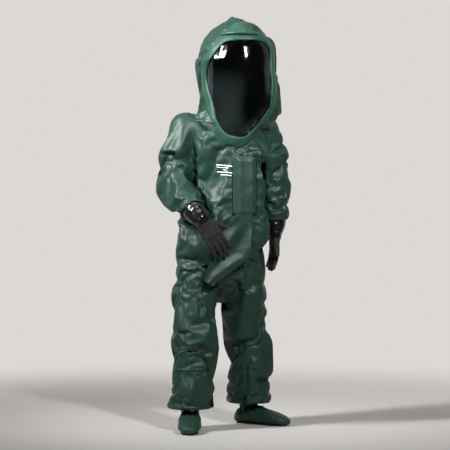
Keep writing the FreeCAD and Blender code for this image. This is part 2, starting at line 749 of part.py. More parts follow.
def bootie(side):
    ankle = point(side + "_ankle")
    forward = FOOT_DIRECTION[side]
    placement = FreeCAD.Placement(V(ankle.x, ankle.y, 0),
                                  FreeCAD.Rotation(forward, V(0, 0, 0), V(0, 0, 1), "ZXY"))
    wall, top = size("fabric_wall"), ankle.z + size("sock_top")
    radius = size("sock_radius")
    outer = foot_solid(0).fuse(Part.makeCylinder(radius - 14, top - 50, V(-6, 0, 50)))
    inner = foot_solid(wall).fuse(Part.makeCylinder(radius - 14 - wall, top - 49, V(-6, 0, 50)))
    upper = DOC.addObject("Part::Feature", "bootie_" + side)
    upper.Shape = outer.cut(inner).removeSplitter()
    upper.Placement = placement
    sole = DOC.addObject("Part::Feature", "sole_patch_" + side)
    heel, ball, toe = V(-40, 0, 0), V(134, 0, 0), V(176, 0, 0)
    plates = [Part.makeCylinder(26, size("sole_thick"), heel),
              Part.makeCylinder(38, size("sole_thick"), ball),
              Part.makeCylinder(24, size("sole_thick"), toe)]
    waist = Part.Face(Part.makePolygon([V(-40, -26, 0), V(134, -38, 0), V(134, 38, 0),
                                        V(-40, 26, 0), V(-40, -26, 0)]))
    shape = waist.extrude(V(0, 0, size("sole_thick")))
    for plate in plates:
        shape = shape.fuse(plate)
    sole.Shape = shape.removeSplitter()
    sole.Placement = placement
    return [upper, sole]


# ---------------------------------------------------------------------------
# Building, centring, checking and writing
# ---------------------------------------------------------------------------

def build():
    fill_sheet()
    parts = []
    parts += trunk_panels()
    parts.append(closure_filler())
    parts += yoke_and_hood()
    parts += visor_parts()
    parts.append(hood_brim())
    parts += zipper()
    parts.append(zipper_slider())
    parts += storm_flap()
    parts.append(flap_tail())
    parts.append(chest_label())
    for side in ("right", "left"):
        parts += valve(side)
        parts += sleeve(side)
        parts += glove(side)
        parts += trouser_leg(side)
        parts.append(splash_guard(side))
        parts += bootie(side)
    DOC.recompute()
    return parts


def check(parts):
    for obj in DOC.Objects:
        if "Invalid" in obj.State or "Error" in obj.State:
            raise RuntimeError("%s did not compute: %s" % (obj.Name, obj.State))
    for obj in parts:
        solids = obj.Shape.Solids
        wanted = 2 if obj.Label == "zipper_stops" else 1
        if obj.Shape.isNull() or not obj.Shape.isValid() or len(solids) != wanted:
            raise RuntimeError("%s has %d valid solids" % (obj.Label, len(solids)))


def box_shift(parts):
    """The move that puts the middle of the outer box over the origin."""
    whole = FreeCAD.BoundBox()
    for obj in parts:
        whole.add(obj.Shape.optimalBoundingBox(False))
    return V(-whole.Center.x, -whole.Center.y, -whole.ZMin)


def write(parts):
    os.makedirs("parts", exist_ok=True)
    for old in os.listdir("parts"):
        os.remove(os.path.join("parts", old))
    shift = box_shift(parts)
    for obj in parts:
        shape = obj.Shape.copy()
        shape.translate(shift)
        shape.exportStep("parts/%s.step" % obj.Label)
    print("nodes %d, moved by %s" % (len(parts), tuple(round(c, 2) for c in shift)))


PARTS = build()
check(PARTS)
write(PARTS)
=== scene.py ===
import json
import math

import bmesh
import bpy
import numpy as np
from mathutils import Matrix, Vector, noise
from mathutils.bvhtree import BVHTree
from mathutils.geometry import barycentric_transform

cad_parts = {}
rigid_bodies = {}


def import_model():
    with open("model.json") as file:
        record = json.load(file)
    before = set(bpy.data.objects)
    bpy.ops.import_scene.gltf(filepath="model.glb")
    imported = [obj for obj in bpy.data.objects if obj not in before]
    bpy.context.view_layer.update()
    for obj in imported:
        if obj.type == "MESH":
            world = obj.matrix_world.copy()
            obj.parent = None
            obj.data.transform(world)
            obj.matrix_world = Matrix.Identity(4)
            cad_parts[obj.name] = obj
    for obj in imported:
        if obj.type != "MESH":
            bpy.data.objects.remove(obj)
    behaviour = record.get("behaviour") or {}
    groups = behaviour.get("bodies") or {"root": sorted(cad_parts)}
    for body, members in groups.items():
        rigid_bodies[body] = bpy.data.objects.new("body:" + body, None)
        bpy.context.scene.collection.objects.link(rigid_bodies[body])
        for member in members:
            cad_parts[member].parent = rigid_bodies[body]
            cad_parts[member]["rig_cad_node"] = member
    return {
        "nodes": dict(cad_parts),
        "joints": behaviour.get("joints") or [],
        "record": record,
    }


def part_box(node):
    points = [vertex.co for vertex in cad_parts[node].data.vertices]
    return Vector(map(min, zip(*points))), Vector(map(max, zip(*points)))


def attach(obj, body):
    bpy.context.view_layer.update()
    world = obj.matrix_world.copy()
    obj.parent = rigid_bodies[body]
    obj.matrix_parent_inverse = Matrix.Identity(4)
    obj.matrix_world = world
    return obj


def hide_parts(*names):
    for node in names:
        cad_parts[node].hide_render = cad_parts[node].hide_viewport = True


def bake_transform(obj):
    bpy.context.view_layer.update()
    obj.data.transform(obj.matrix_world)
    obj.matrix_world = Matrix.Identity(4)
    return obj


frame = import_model()
# Blender's own start-up objects go; the frame's bodies and CAD nodes stay.
for extra in [o for o in bpy.context.scene.objects if o.type != "EMPTY" and "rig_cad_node" not in o]:
    bpy.data.objects.remove(extra)
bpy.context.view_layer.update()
SIDES = ("right", "left")
OUTWARD = {"right": -1, "left": 1}
JOINT = {j["name"]: Vector(j["pos_m"]) for j in frame["joints"] if "pos_m" in j}
NODES = frame["nodes"]

# The trunk's own middle: every level section is placed from it.
MIDDLE = (JOINT["right_hip"] + JOINT["left_hip"]) / 2
SHIFT = Vector((MIDDLE.x, MIDDLE.y, 0))

VOXEL = 0.0115
UP = Vector((0, 0, 1))


def joints(side, *names):
    """Where the named joints of one side are."""
    return [JOINT[side + "_" + name] for name in names]



# Level sections of the garment before it settles: height, middle x, middle y, half width, half depth.
TRUNK_FORM = [
    (0.610, 0.000, 0.010, 0.060, 0.050),
    (0.640, 0.000, 0.006, 0.140, 0.095),
    (0.690, 0.000, 0.000, 0.178, 0.118),
    (0.780, 0.000, 0.002, 0.196, 0.138),
    (0.860, 0.000, 0.004, 0.196, 0.146),
    (1.000, 0.014, 0.010, 0.172, 0.152),
    (1.100, 0.022, 0.014, 0.160, 0.156),
    (1.200, 0.026, 0.020, 0.152, 0.160),
    (1.300, 0.028, 0.020, 0.170, 0.160),
    (1.370, 0.028, 0.016, 0.165, 0.150),
    (1.430, 0.036, 0.006, 0.128, 0.146),
    (1.500, 0.046, -0.004, 0.110, 0.140),
]
HOOD_FORM = [
    (1.250, 0.035, 0.004, 0.110, 0.142),
    (1.320, 0.040, 0.000, 0.124, 0.160),
    (1.380, 0.062, -0.004, 0.158, 0.178),
    (1.440, 0.090, -0.006, 0.178, 0.190),
    (1.490, 0.092, -0.008, 0.178, 0.198),
    (1.550, 0.090, -0.008, 0.175, 0.202),
    (1.615, 0.078, -0.009, 0.172, 0.202),
    (1.650, 0.074, -0.010, 0.176, 0.201),
    (1.704, 0.080, -0.010, 0.168, 0.196),
    (1.758, 0.080, -0.008, 0.136, 0.172),
    (1.800, 0.080, -0.002, 0.100, 0.138),
    (1.820, 0.084, 0.004, 0.066, 0.098),
    (1.828, 0.084, 0.006, 0.032, 0.050),
]
SLEEVE_GAP = 0.027
SLEEVE_RADII = (0.069, 0.077, 0.070, 0.054)
LEG_RADII = (0.100, 0.096, 0.090, 0.091, 0.096)
SLEEVE_SHORT = 0.062    # from a sleeve's end to the wrist
ELBOW_IN = 0.022        # how far the sleeve's middle lies inside the elbow
SHOULDER_DOWN = 0.016
HEM = 0.087
GUARD_TOP = 0.285

# The edge of the visor window on the hood: turn in degrees and height, all the way round.
WINDOW_TURN = math.radians(-20)
WINDOW = [(0, 1.296), (-14, 1.299), (-28, 1.309), (-40, 1.331), (-49, 1.363), (-57, 1.402), (-68, 1.472),
          (-77, 1.530), (-80, 1.575), (-74, 1.622), (-62, 1.664), (-53, 1.704), (-44, 1.730), (-25, 1.738),
          (-5, 1.740), (14, 1.738), (28, 1.730), (36, 1.700), (38, 1.650), (36, 1.600), (33, 1.540),
          (30, 1.472), (30, 1.400), (28, 1.345), (20, 1.312), (10, 1.299)]
WINDOW_MIDDLE = 1.550
BINDING_WIDTH = 0.036

# The front closure stands on a flat stretch of cloth, and so does each valve on the back.
PLATE_X = (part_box("flap_loop_backing")[0].x, JOINT["storm_flap_hinge"].x + 0.006)
PLATE_Z = (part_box("zipper_stops")[0].z - 0.012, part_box("storm_flap")[1].z + 0.008)
PLATE_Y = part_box("zipper_tape_right")[1].y + 0.0006
VALVE_TILT = 0.52


# ---- Mesh helpers ----

def new_object(name, vertices, faces, smooth=True):
    mesh = bpy.data.meshes.new(name)
    mesh.from_pydata([tuple(v) for v in vertices], [], faces)
    mesh.update()
    if smooth:
        mesh.shade_smooth()
    obj = bpy.data.objects.new(name, mesh)
    bpy.context.scene.collection.objects.link(obj)
    return obj


def bake(obj):
    """Replaces an object's mesh by what its modifiers make of it."""
    bpy.context.view_layer.update()
    evaluated = obj.evaluated_get(bpy.context.evaluated_depsgraph_get())
    mesh = bpy.data.meshes.new_from_object(evaluated)
    obj.modifiers.clear()
    old = obj.data
    obj.data = mesh
    bpy.data.meshes.remove(old)
    return obj


def subdivided(obj, levels=1):
    obj.modifiers.new("subdivision", "SUBSURF").levels = levels
    bake(obj)
    obj.data.shade_smooth()
    return obj


def thickened(obj, thickness, offset=-1):
    solidify = obj.modifiers.new("thickness", "SOLIDIFY")
    solidify.thickness = thickness
    solidify.offset = offset
    bake(obj)
    obj.data.shade_smooth()
    return obj


def coordinates(obj):
    co = np.empty(len(obj.data.vertices) * 3)
    obj.data.vertices.foreach_get("co", co)
    return co.reshape(-1, 3)


def set_coordinates(obj, co):
    obj.data.vertices.foreach_set("co", co.reshape(-1))
    obj.data.update()


def push_out(obj, reach):
    """Moves each vertex along its normal by reach(point)."""
    co = coordinates(obj)
    normals = [v.normal.copy() for v in obj.data.vertices]
    for row, normal in zip(co, normals):
        row += np.array(normal * reach(Vector(row)))
    set_coordinates(obj, co)
    obj.data.shade_smooth()


def smoothed(obj, iterations):
    obj.modifiers.new("smooth", "SMOOTH").iterations = iterations
    bake(obj)


def remove(obj):
    mesh = obj.data
    bpy.data.objects.remove(obj)
    bpy.data.meshes.remove(mesh)


def joined(name, objects):
    """One object out of several, with all their vertices, faces and materials."""
    vertices, faces, slots, materials = [], [], [], []
    for obj in objects:
        start = len(vertices)
        vertices += [obj.matrix_world @ v.co for v in obj.data.vertices]
        for material in obj.data.materials:
            if material not in materials:
                materials.append(material)
        for p in obj.data.polygons:
            faces.append([start + i for i in p.vertices])
            own = obj.data.materials[p.material_index] if obj.data.materials else None
            slots.append(materials.index(own) if own else 0)
        remove(obj)
    whole = new_object(name, vertices, faces)
    for material in materials:
        whole.data.materials.append(material)
    whole.data.polygons.foreach_set("material_index", slots)
    return whole


def ring_stack(name, rings, closed=True, looped=True):
    """A skin through rows of points; closed ends get one face each."""
    count = len(rings[0])
    vertices = [p for ring in rings for p in ring]
    faces = []
    for row in range(len(rings) - 1):
        for i in range(count if looped else count - 1):
            j = (i + 1) % count
            a, b = row * count, (row + 1) * count
            faces.append([a + i, a + j, b + j, b + i])
    if closed:
        faces.append(list(range(count))[::-1])
        faces.append([(len(rings) - 1) * count + i for i in range(count)])
    return new_object(name, vertices, faces)


def level_rings(sections, share=1.0, count=48):
    rings = []
    for up, mid_x, mid_y, half_x, half_y in sections:
        centre = SHIFT + Vector((mid_x, mid_y, up))
        ring = []
        for i in range(count):
            turn = 2 * math.pi * i / count
            ring.append(centre + Vector((half_x * share * math.sin(turn),
                                         -half_y * share * math.cos(turn), 0)))
        rings.append(ring)
    return rings


def limb(name, points, radii, count=32, caps=5):
    """A round limb through points, with domed ends, for the union that follows."""
    pieces = []
    for a, b, ra, rb in zip(points, points[1:], radii, radii[1:]):
        axis = (b - a).normalized()
        side = axis.orthogonal().normalized()
        other = axis.cross(side)
        rings = []
        for i in range(caps):
            lift = math.pi / 2 * (1 - i / caps)
            rings.append((a - axis * ra * math.sin(lift), ra * math.cos(lift) + 0.0005))
        rings.append((a, ra))
        rings.append((b, rb))
        for i in range(1, caps + 1):
            lift = math.pi / 2 * i / caps
            rings.append((b + axis * rb * math.sin(lift), rb * math.cos(lift) + 0.0005))
        stack = [[centre + side * (r * math.cos(2 * math.pi * i / count))
                  + other * (r * math.sin(2 * math.pi * i / count)) for i in range(count)]
                 for centre, r in rings]
        pieces.append(ring_stack(name + "_piece", stack))
    return joined(name, pieces)


def voxel_union(name, objects, voxel):
    obj = joined(name, objects)
    remesh = obj.modifiers.new("union", "REMESH")
    remesh.mode = "VOXEL"
    remesh.voxel_size = voxel
    return bake(obj)


def keep_where(obj, keep):
    """Deletes the vertices for which keep(point) is false."""
    bm = bmesh.new()
    bm.from_mesh(obj.data)
    gone = [v for v in bm.verts if not keep(v.co)]
    bmesh.ops.delete(bm, geom=gone, context="VERTS")
    bm.to_mesh(obj.data)
    bm.free()
    return obj


def smooth_step(value, low, high):
    """0 at low and 1 at high, with a soft start and end; high may be the smaller one."""
    share = min(1.0, max(0.0, (value - low) / (high - low)))
    return share * share * (3 - 2 * share)


def turns(count):
    """Angles that go once round in even steps."""
    return np.linspace(0, 2 * math.pi, count, endpoint=False)


def smooth_loop(points, count):
    """Points evenly spread along a smooth closed curve through the given ones."""
    dense = []
    total = len(points)
    for i in range(total):
        p0, p1, p2, p3 = (points[(i + k) % total] for k in (-1, 0, 1, 2))
        for step in range(16):
            s = step / 16
            dense.append(0.5 * ((2 * p1) + (p2 - p0) * s + (2 * p0 - 5 * p1 + 4 * p2 - p3) * s * s
                                + (3 * p1 - p0 - 3 * p2 + p3) * s ** 3))
    lengths = [0.0]
    for a, b in zip(dense, dense[1:] + dense[:1]):
        lengths.append(lengths[-1] + (b - a).length)
    spread, index = [], 0
    for i in range(count):
        wanted = lengths[-1] * i / count
        while lengths[index + 1] < wanted:
            index += 1
        share = (wanted - lengths[index]) / (lengths[index + 1] - lengths[index])
        spread.append(dense[index].lerp(dense[(index + 1) % len(dense)], share))
    return spread


# ---- The hood's form and the visor window in it ----

HOOD_TABLE = np.array(HOOD_FORM)


def hood_section(height):
    return [float(np.interp(height, HOOD_TABLE[:, 0], HOOD_TABLE[:, k])) for k in range(1, 5)]


def hood_point(turn, height, out=0.0):
    """A point on the hood's form; turn 0 faces forwards and grows to the wearer's left."""
    mid_x, mid_y, half_x, half_y = hood_section(height)
    return SHIFT + Vector((mid_x + (half_x + out) * math.sin(turn),
                           mid_y - (half_y + out) * math.cos(turn), height))


def hood_turn(point):
    mid_x, mid_y, half_x, half_y = hood_section(point.z)
    local = point - SHIFT
    return math.atan2((local.x - mid_x) / half_x, -(local.y - mid_y) / half_y)


HOOD_RADIUS = 0.180   # turns times this are lengths along the hood


def window_loop(count):
    corners = [Vector(((math.radians(turn) - WINDOW_TURN) * HOOD_RADIUS, height - WINDOW_MIDDLE))
               for turn, height in WINDOW]
    return smooth_loop(corners, count)


WINDOW_COUNT = 144
WINDOW_LOOP = window_loop(WINDOW_COUNT)


def window_distance(point):
    """How far outside the window's edge a point lies along the hood; negative is inside it."""
    turn = hood_turn(point) - WINDOW_TURN
    turn = (turn + math.pi) % (2 * math.pi) - math.pi
    here = Vector((turn * HOOD_RADIUS, point.z - WINDOW_MIDDLE))
    nearest, inside = 9.0, False
    for a, b in zip(WINDOW_LOOP, WINDOW_LOOP[1:] + WINDOW_LOOP[:1]):
        nearest = min(nearest, (here - a).length)
        if (a.y > here.y) != (b.y > here.y):
            if here.x < a.x + (b.x - a.x) * (here.y - a.y) / (b.y - a.y):
                inside = not inside
    return -nearest if inside else nearest


# ---- The garment before it settles, and the wearer's form that it hangs on ----

def along(a, b, share):
    return a + (b - a) * share


def arm_points(side):
    shoulder, elbow, wrist = joints(side, "shoulder", "elbow", "wrist")
    cuff = wrist - (wrist - elbow).normalized() * SLEEVE_SHORT
    bent = elbow - Vector((OUTWARD[side] * ELBOW_IN, 0.006, 0))
    return [shoulder - UP * SHOULDER_DOWN, along(shoulder, bent, 0.5), bent, cuff]


def leg_points(side):
    hip, knee, ankle = joints(side, "hip", "knee", "ankle")

    def at(height):
        return along(knee, ankle, (knee.z - height) / (knee.z - ankle.z))

    return [along(hip, knee, 0.25), along(hip, knee, 0.6), knee, at(GUARD_TOP), at(HEM - 0.02)]


def armpit_slot(side):
    """A thin wedge that keeps the sleeve apart from the trunk under the arm."""
    sign = OUTWARD[side]
    shoulder, elbow = joints(side, "shoulder", "elbow")
    rings = []
    for up, inwards, half in ((1.250, 0.074, 0.004), (1.235, 0.075, 0.008), (1.100, 0.088, 0.010),
                              (1.010, 0.100, 0.010)):
        x = along(shoulder, elbow, (shoulder.z - up) / (shoulder.z - elbow.z)).x - sign * inwards
        rings.append([Vector((x - half, -0.13, up)), Vector((x + half, -0.13, up)),
                      Vector((x + half, 0.30, up)), Vector((x - half, 0.30, up))])
    return ring_stack("armpit_slot_" + side, rings)


def cuffs():
    """The planes that cut the sleeves open: a point and the outward direction of each."""
    planes = []
    for side in SIDES:
        elbow, cuff = arm_points(side)[2:]
        planes.append((cuff, (cuff - elbow).normalized()))
    return planes


CUFFS = cuffs()
CUFF_RADIUS = 0.064
CUFF_CUT = 0.075   # everything of the sleeve's form this far past the cuff goes


def beyond_cuff(point):
    for centre, outward in CUFFS:
        reach = (point - centre).dot(outward)
        if 0 < reach < CUFF_CUT and (point - centre - outward * reach).length < CUFF_RADIUS:
            return True
    return False


def in_splash_slit(point):
    """The slit up the front of each splash guard."""
    for side in SIDES:
        knee, ankle = joints(side, "knee", "ankle")
        axis = along(knee, ankle, (knee.z - point.z) / (knee.z - ankle.z))
        across = Vector((0.82, -0.57, 0)) if side == "right" else Vector((-0.55, -0.83, 0))
        offset = point - axis
        if point.z < 0.165 and offset.dot(across) > 0.03 and offset.length < 0.14:
            if abs(offset.dot(Vector((-across.y, across.x, 0)))) < 0.004:
                return True
    return False


def sleeve_room(side):
    """The room that a lower sleeve takes from the trunk, so that the two stay apart."""
    points = arm_points(side)
    radii = [radius + SLEEVE_GAP for radius in SLEEVE_RADII[1:]]
    line = [along(points[1], points[2], 0.5), points[2], along(points[2], points[3], 1.25)]
    return limb("sleeve_room_" + side, line, radii)


def cut_away(obj, pieces):
    """Takes the closed pieces out of an object, and removes them."""
    cutter = joined("cutter", pieces)
    shape = bmesh.new()
    shape.from_mesh(cutter.data)
    bmesh.ops.recalc_face_normals(shape, faces=shape.faces)
    shape.to_mesh(cutter.data)
    shape.free()
    apart = obj.modifiers.new("apart", "BOOLEAN")
    apart.operation = "DIFFERENCE"
    apart.object = cutter
    apart.solver = "EXACT"
    bake(obj)
    remove(cutter)


def garment_form():
    pieces = [ring_stack("trunk_form", level_rings(TRUNK_FORM)),
              ring_stack("hood_form", level_rings(HOOD_FORM))]
    for side in SIDES:
        pieces.append(limb("leg_form_" + side, leg_points(side), LEG_RADII))
    for start, end, radii in HOOD_TENTS:
        pieces.append(limb("hood_tent", [start, end], radii))
    body = voxel_union("body", pieces, VOXEL)
    cut_away(body, [voxel_union("sleeve_rooms", [sleeve_room(side) for side in SIDES], VOXEL)])
    sleeves = [limb("sleeve_form_" + side, arm_points(side), SLEEVE_RADII) for side in SIDES]
    garment = voxel_union("garment", [body] + sleeves, VOXEL)
    cut_away(garment, [armpit_slot(side) for side in SIDES])
    garment = voxel_union("garment", [garment], VOXEL)
    co = coordinates(garment)
    for row in co:
        row[:] = seated(Vector(row))
    set_coordinates(garment, co)
    return keep_where(garment, inside_openings)


def inside_openings(point):
    if point.z < HEM or beyond_cuff(point) or in_splash_slit(point):
        return False
    return not (1.30 < point.z < 1.775 and window_distance(point) < -0.006)


# Places where the hood's cloth is held out in a soft corner: from, to, and the radii there.
HOOD_TENTS = [
    (SHIFT + Vector((-0.030, 0.030, 1.650)), SHIFT + Vector((-0.084, 0.046, 1.650)), (0.070, 0.024)),
    (SHIFT + Vector((0.046, 0.020, 1.790)), SHIFT + Vector((0.044, -0.046, 1.836)), (0.040, 0.020)),
    (SHIFT + Vector((0.080, 0.020, 1.790)), SHIFT + Vector((0.078, -0.046, 1.832)), (0.040, 0.020)),
    (SHIFT + Vector((0.190, 0.020, 1.700)), SHIFT + Vector((0.246, 0.030, 1.712)), (0.050, 0.012)),
]


def plate_reach(point):
    """Distance outside the flat stretch that carries the closure, or None off the front."""
    if point.y > SHIFT.y - 0.04 or not 0.80 < point.z < 1.30:
        return None
    side_x = max(PLATE_X[0] - point.x, point.x - PLATE_X[1], 0)
    side_z = max(PLATE_Z[0] - point.z, point.z - PLATE_Z[1], 0)
    return math.hypot(side_x, side_z)


def valve_seats():
    """Middle and outward direction of the flat stretches that carry the exhaust valves."""
    seats = []
    for side in SIDES:
        low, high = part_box("valve_nut_" + side)
        outward = Vector((OUTWARD[side] * VALVE_TILT, math.sqrt(1 - VALVE_TILT ** 2), 0))
        seats.append(((low + high) / 2 + outward * 0.0034, outward))
    return seats


SEATS = valve_seats()
SEAT_RADIUS = 0.042


def seated(point):
    """Moves a point of the unsettled garment onto the closure's plane or a valve's seat."""
    reach = plate_reach(point)
    if reach is not None and reach < 0.10:
        target = PLATE_Y + 0.045 * (reach / 0.10) ** 1.5
        if reach < 0.004 or point.y > target:
            return Vector((point.x, target, point.z))
    for centre, outward in SEATS:
        offset = point - centre
        height = offset.dot(outward)
        radial = (offset - outward * height).length
        if point.y > SHIFT.y and radial < SEAT_RADIUS + 0.05 and abs(height) < 0.05:
            share = 1 - smooth_step(radial, SEAT_RADIUS, SEAT_RADIUS + 0.05)
            point = point - outward * height * share
    return point


def wearer_form():
    """A plain form inside the garment. It only holds the cloth up and is deleted afterwards."""
    slim = [s for s in TRUNK_FORM if s[0] > 0.7]
    pieces = [ring_stack("form_trunk", level_rings(slim, 0.80)),
              ring_stack("form_hood", level_rings(HOOD_FORM, 0.90))]
    for side in SIDES:
        arm = arm_points(side)
        wrist = JOINT[side + "_wrist"]
        pieces.append(limb("form_arm_" + side, [arm[0], arm[1], arm[2], wrist],
                           (0.072, 0.056, 0.050, 0.032)))
        leg = leg_points(side)
        pieces.append(limb("form_leg_" + side, leg, (0.088, 0.078, 0.066, 0.056, 0.050)))
    for start, end, _ in HOOD_TENTS:
        pieces.append(limb("form_tent", [start, along(start, end, 0.9)], (0.04, 0.006)))
    return voxel_union("wearer_form", pieces, 0.014)


CLOTH_SETTINGS = {"quality": 6, "mass": 0.25, "air_damping": 2.0, "tension_stiffness": 20,
                  "compression_stiffness": 20, "shear_stiffness": 8, "bending_stiffness": 2.0,
                  "tension_damping": 8, "compression_damping": 8, "shear_damping": 8,
                  "bending_damping": 0.8}


def settle(garment, form, frames, slack_where, most_slack, pin_where, gravity):
    """Runs the cloth simulation on a piece that hangs on the form, and applies it.
    slack_where gives each point's spare cloth as a share of most_slack."""
    form.modifiers.new("collision", "COLLISION")
    form.collision.thickness_outer = 0.003
    form.collision.cloth_friction = 12
    pins = garment.vertex_groups.new(name="pins")
    spare = garment.vertex_groups.new(name="spare")
    for v in garment.data.vertices:
        spare.add([v.index], 1 - slack_where(v.co), "REPLACE")
        weight = pin_where(v.co)
        if weight > 0:
            pins.add([v.index], weight, "REPLACE")
    cloth = garment.modifiers.new("cloth", "CLOTH")
    for name, value in CLOTH_SETTINGS.items():
        setattr(cloth.settings, name, value)
    cloth.settings.shrink_min = -most_slack
    cloth.settings.shrink_max = 0
    cloth.settings.vertex_group_shrink = "spare"
    cloth.settings.vertex_group_mass = "pins"
    cloth.settings.effector_weights.gravity = gravity
    cloth.collision_settings.use_collision = True
    cloth.collision_settings.distance_min = 0.003
    cloth.collision_settings.collision_quality = 2
    cloth.collision_settings.use_self_collision = False
    scene = bpy.context.scene
    scene.frame_start = 1
    scene.frame_end = frames
    cloth.point_cache.frame_start = 1
    cloth.point_cache.frame_end = frames
    for number in range(1, frames + 1):
        scene.frame_set(number)
    bake(garment)
    scene.frame_set(1)
    return garment


def limb_distance(point, points):
    """Distance to a limb's line and how far along it the nearest point is."""
    best, where, start = 9.0, 0.0, 0.0
    for a, b in zip(points, points[1:]):
        length = (b - a).length
        reach = min(length, max(0.0, (point - a).dot(b - a) / length))
        distance = (point - along(a, b, reach / length)).length
        if distance < best:
            best, where = distance, start + reach
        start += length
    return best, where


CATCH = 0.38   # noise above this marks a caught spot


def caught(point):
    """Spots where the cloth catches on the wearer, so that folds run from one to the next."""
    if point.z < 0.15 or 1.17 < point.z < 1.40 and point.y < SHIFT.y:
        return False
    return noise.noise(point * 6.5 + Vector((3.0, 1.0, 7.0))) > CATCH


def held(point):
    """Share by which a point is held in place while the garment settles."""
    if caught(point):
        return 0.9
    if point.z < HEM + 0.02:
        return 1.0
    for centre, outward in CUFFS:
        offset = point - centre
        if offset.length < 0.09 and offset.dot(outward) > -0.016:
            return 1.0
    reach = plate_reach(point)
    if reach is not None and reach < 0.03:
        return 1 - smooth_step(reach, 0.004, 0.03)
    for centre, outward in SEATS:
        if (point - centre).length < SEAT_RADIUS + 0.02:
            return 1 - smooth_step((point - centre).length, SEAT_RADIUS, SEAT_RADIUS + 0.02)
    if 1.27 < point.z < 1.82 and point.y < SHIFT.y + 0.12:
        rim = window_distance(point)
        if rim < BINDING_WIDTH + 0.016:
            return 1 - smooth_step(rim, BINDING_WIDTH, BINDING_WIDTH + 0.016)
    for _, end, _ in HOOD_TENTS:
        if (point - end).length < 0.024:
            return 0.9
    return 0.0


def spare_cloth(point):
    """Share of the most slack that the cloth has at a point."""
    for side in SIDES:
        distance, where = limb_distance(point, arm_points(side))
        if distance < 0.10 and point.z < 1.40:
            return 0.95 - 0.65 * smooth_step(where, 0.11, 0.03)
    if point.z < 0.24:
        return 0.45
    if point.z < 0.66:
        return 1.0
    if point.z > 1.40:
        return 0.45
    if point.z > 1.20:
        return 0.60
    return 0.18 if point.z > 0.98 else 0.60


# ---- The settled garment, and the pieces that it is made of ----

SETTLE_FRAMES = 28
SETTLE_GRAVITY = 0.6
MOST_SLACK = 0.24
YOKE_SEAM = ((-180, 1.300), (-90, 1.372), (-50, 1.380), (-31, 1.366), (-16, 1.282), (0, 1.236),
             (10, 1.222), (30, 1.225), (54, 1.235), (90, 1.290), (180, 1.300))
CHEST_MIDDLE = SHIFT + Vector((0.028, 0.020, 0))
WAIST_CUT = 0.860
THIGH_CUT = 0.600
SLEEVE_CUT = 0.235
SLEEVE_REACH = 0.092


def chest_turn(point):
    local = point - CHEST_MIDDLE
    return math.degrees(math.atan2(local.x, -local.y))


def yoke_height(turn):
    return float(np.interp(turn, [t for t, z in YOKE_SEAM], [z for t, z in YOKE_SEAM]))


def armpit(side):
    """The plane where a sleeve starts: a point of it under the arm, and its outward direction."""
    shoulder, elbow = joints(side, "shoulder", "elbow")
    under = along(shoulder, elbow, (shoulder.z - 1.225) / (shoulder.z - elbow.z))
    return under - Vector((OUTWARD[side] * 0.075, 0, 0)), Vector((OUTWARD[side] * 0.70, 0, -0.714))


def sleeve_faces(mesh, side):
    """The faces near the arm that can be reached from the elbow without crossing the armpit's plane."""
    start, outward = armpit(side)
    elbow = JOINT[side + "_elbow"]
    arm = arm_points(side)
    centres = [p.center for p in mesh.polygons]
    by_edge = {}
    for p in mesh.polygons:
        for key in p.edge_keys:
            by_edge.setdefault(key, []).append(p.index)
    seed = min(range(len(centres)), key=lambda i: (centres[i] - elbow).length)
    found, waiting = {seed}, [seed]
    while waiting:
        here = waiting.pop()
        for key in mesh.polygons[here].edge_keys:
            for other in by_edge[key]:
                if other in found or (centres[other] - start).dot(outward) < 0:
                    continue
                if limb_distance(centres[other], arm)[0] < SLEEVE_REACH:
                    found.add(other)
                    waiting.append(other)
    return found


LABELS = ["hood_cloth", "front_right", "front_left", "back"]
for kind in ("upper_sleeve_", "lower_sleeve_", "thigh_", "knee_", "splash_guard_"):
    LABELS += [kind + side for side in SIDES]


def label_of(point):
    if point.z < WAIST_CUT:
        side = "right" if point.x < SHIFT.x else "left"
        kind = "thigh_" if point.z > THIGH_CUT else "knee_" if point.z > GUARD_TOP else "splash_guard_"
        return kind + side
    turn = chest_turn(point)
    if point.z > yoke_height(turn):
        return "hood_cloth"
    if abs(turn) > 92:
        return "back"
    return "front_right" if point.x < JOINT["storm_flap_hinge"].x else "front_left"


def label_faces(mesh):
    """Marks each face with the number of its piece."""
    numbers = [LABELS.index(label_of(p.center)) for p in mesh.polygons]
    for side in SIDES:
        shoulder, elbow = joints(side, "shoulder", "elbow")
        arm = (elbow - shoulder).normalized()
        for index in sleeve_faces(mesh, side):
            low = (mesh.polygons[index].center - shoulder).dot(arm) > SLEEVE_CUT
            numbers[index] = LABELS.index(("lower_sleeve_" if low else "upper_sleeve_") + side)
    mesh.polygons.foreach_set("material_index", numbers)
    return numbers


def copied(obj, name):
    twin = bpy.data.objects.new(name, obj.data.copy())
    bpy.context.scene.collection.objects.link(twin)
    return twin


garment = garment_form()
numbers = label_faces(garment.data)
unsettled = copied(garment, "unsettled")
form = wearer_form()
settle(garment, form, SETTLE_FRAMES, spare_cloth, MOST_SLACK, held, SETTLE_GRAVITY)
garment.data.polygons.foreach_set("material_index", numbers)
remove(form)
subdivided(garment)
subdivided(unsettled)

TRIANGLES = []
for polygon in unsettled.data.polygons:
    corners = list(polygon.vertices)
    TRIANGLES += [(corners[0], corners[i], corners[i + 1]) for i in range(1, len(corners) - 1)]
BEFORE = [v.co.copy() for v in unsettled.data.vertices]
AFTER = [v.co.copy() for v in garment.data.vertices]
BEFORE_TREE = BVHTree.FromPolygons(BEFORE, TRIANGLES)
AFTER_TREE = BVHTree.FromPolygons(AFTER, TRIANGLES)
AFTER_NORMALS = [v.normal.copy() for v in garment.data.vertices]


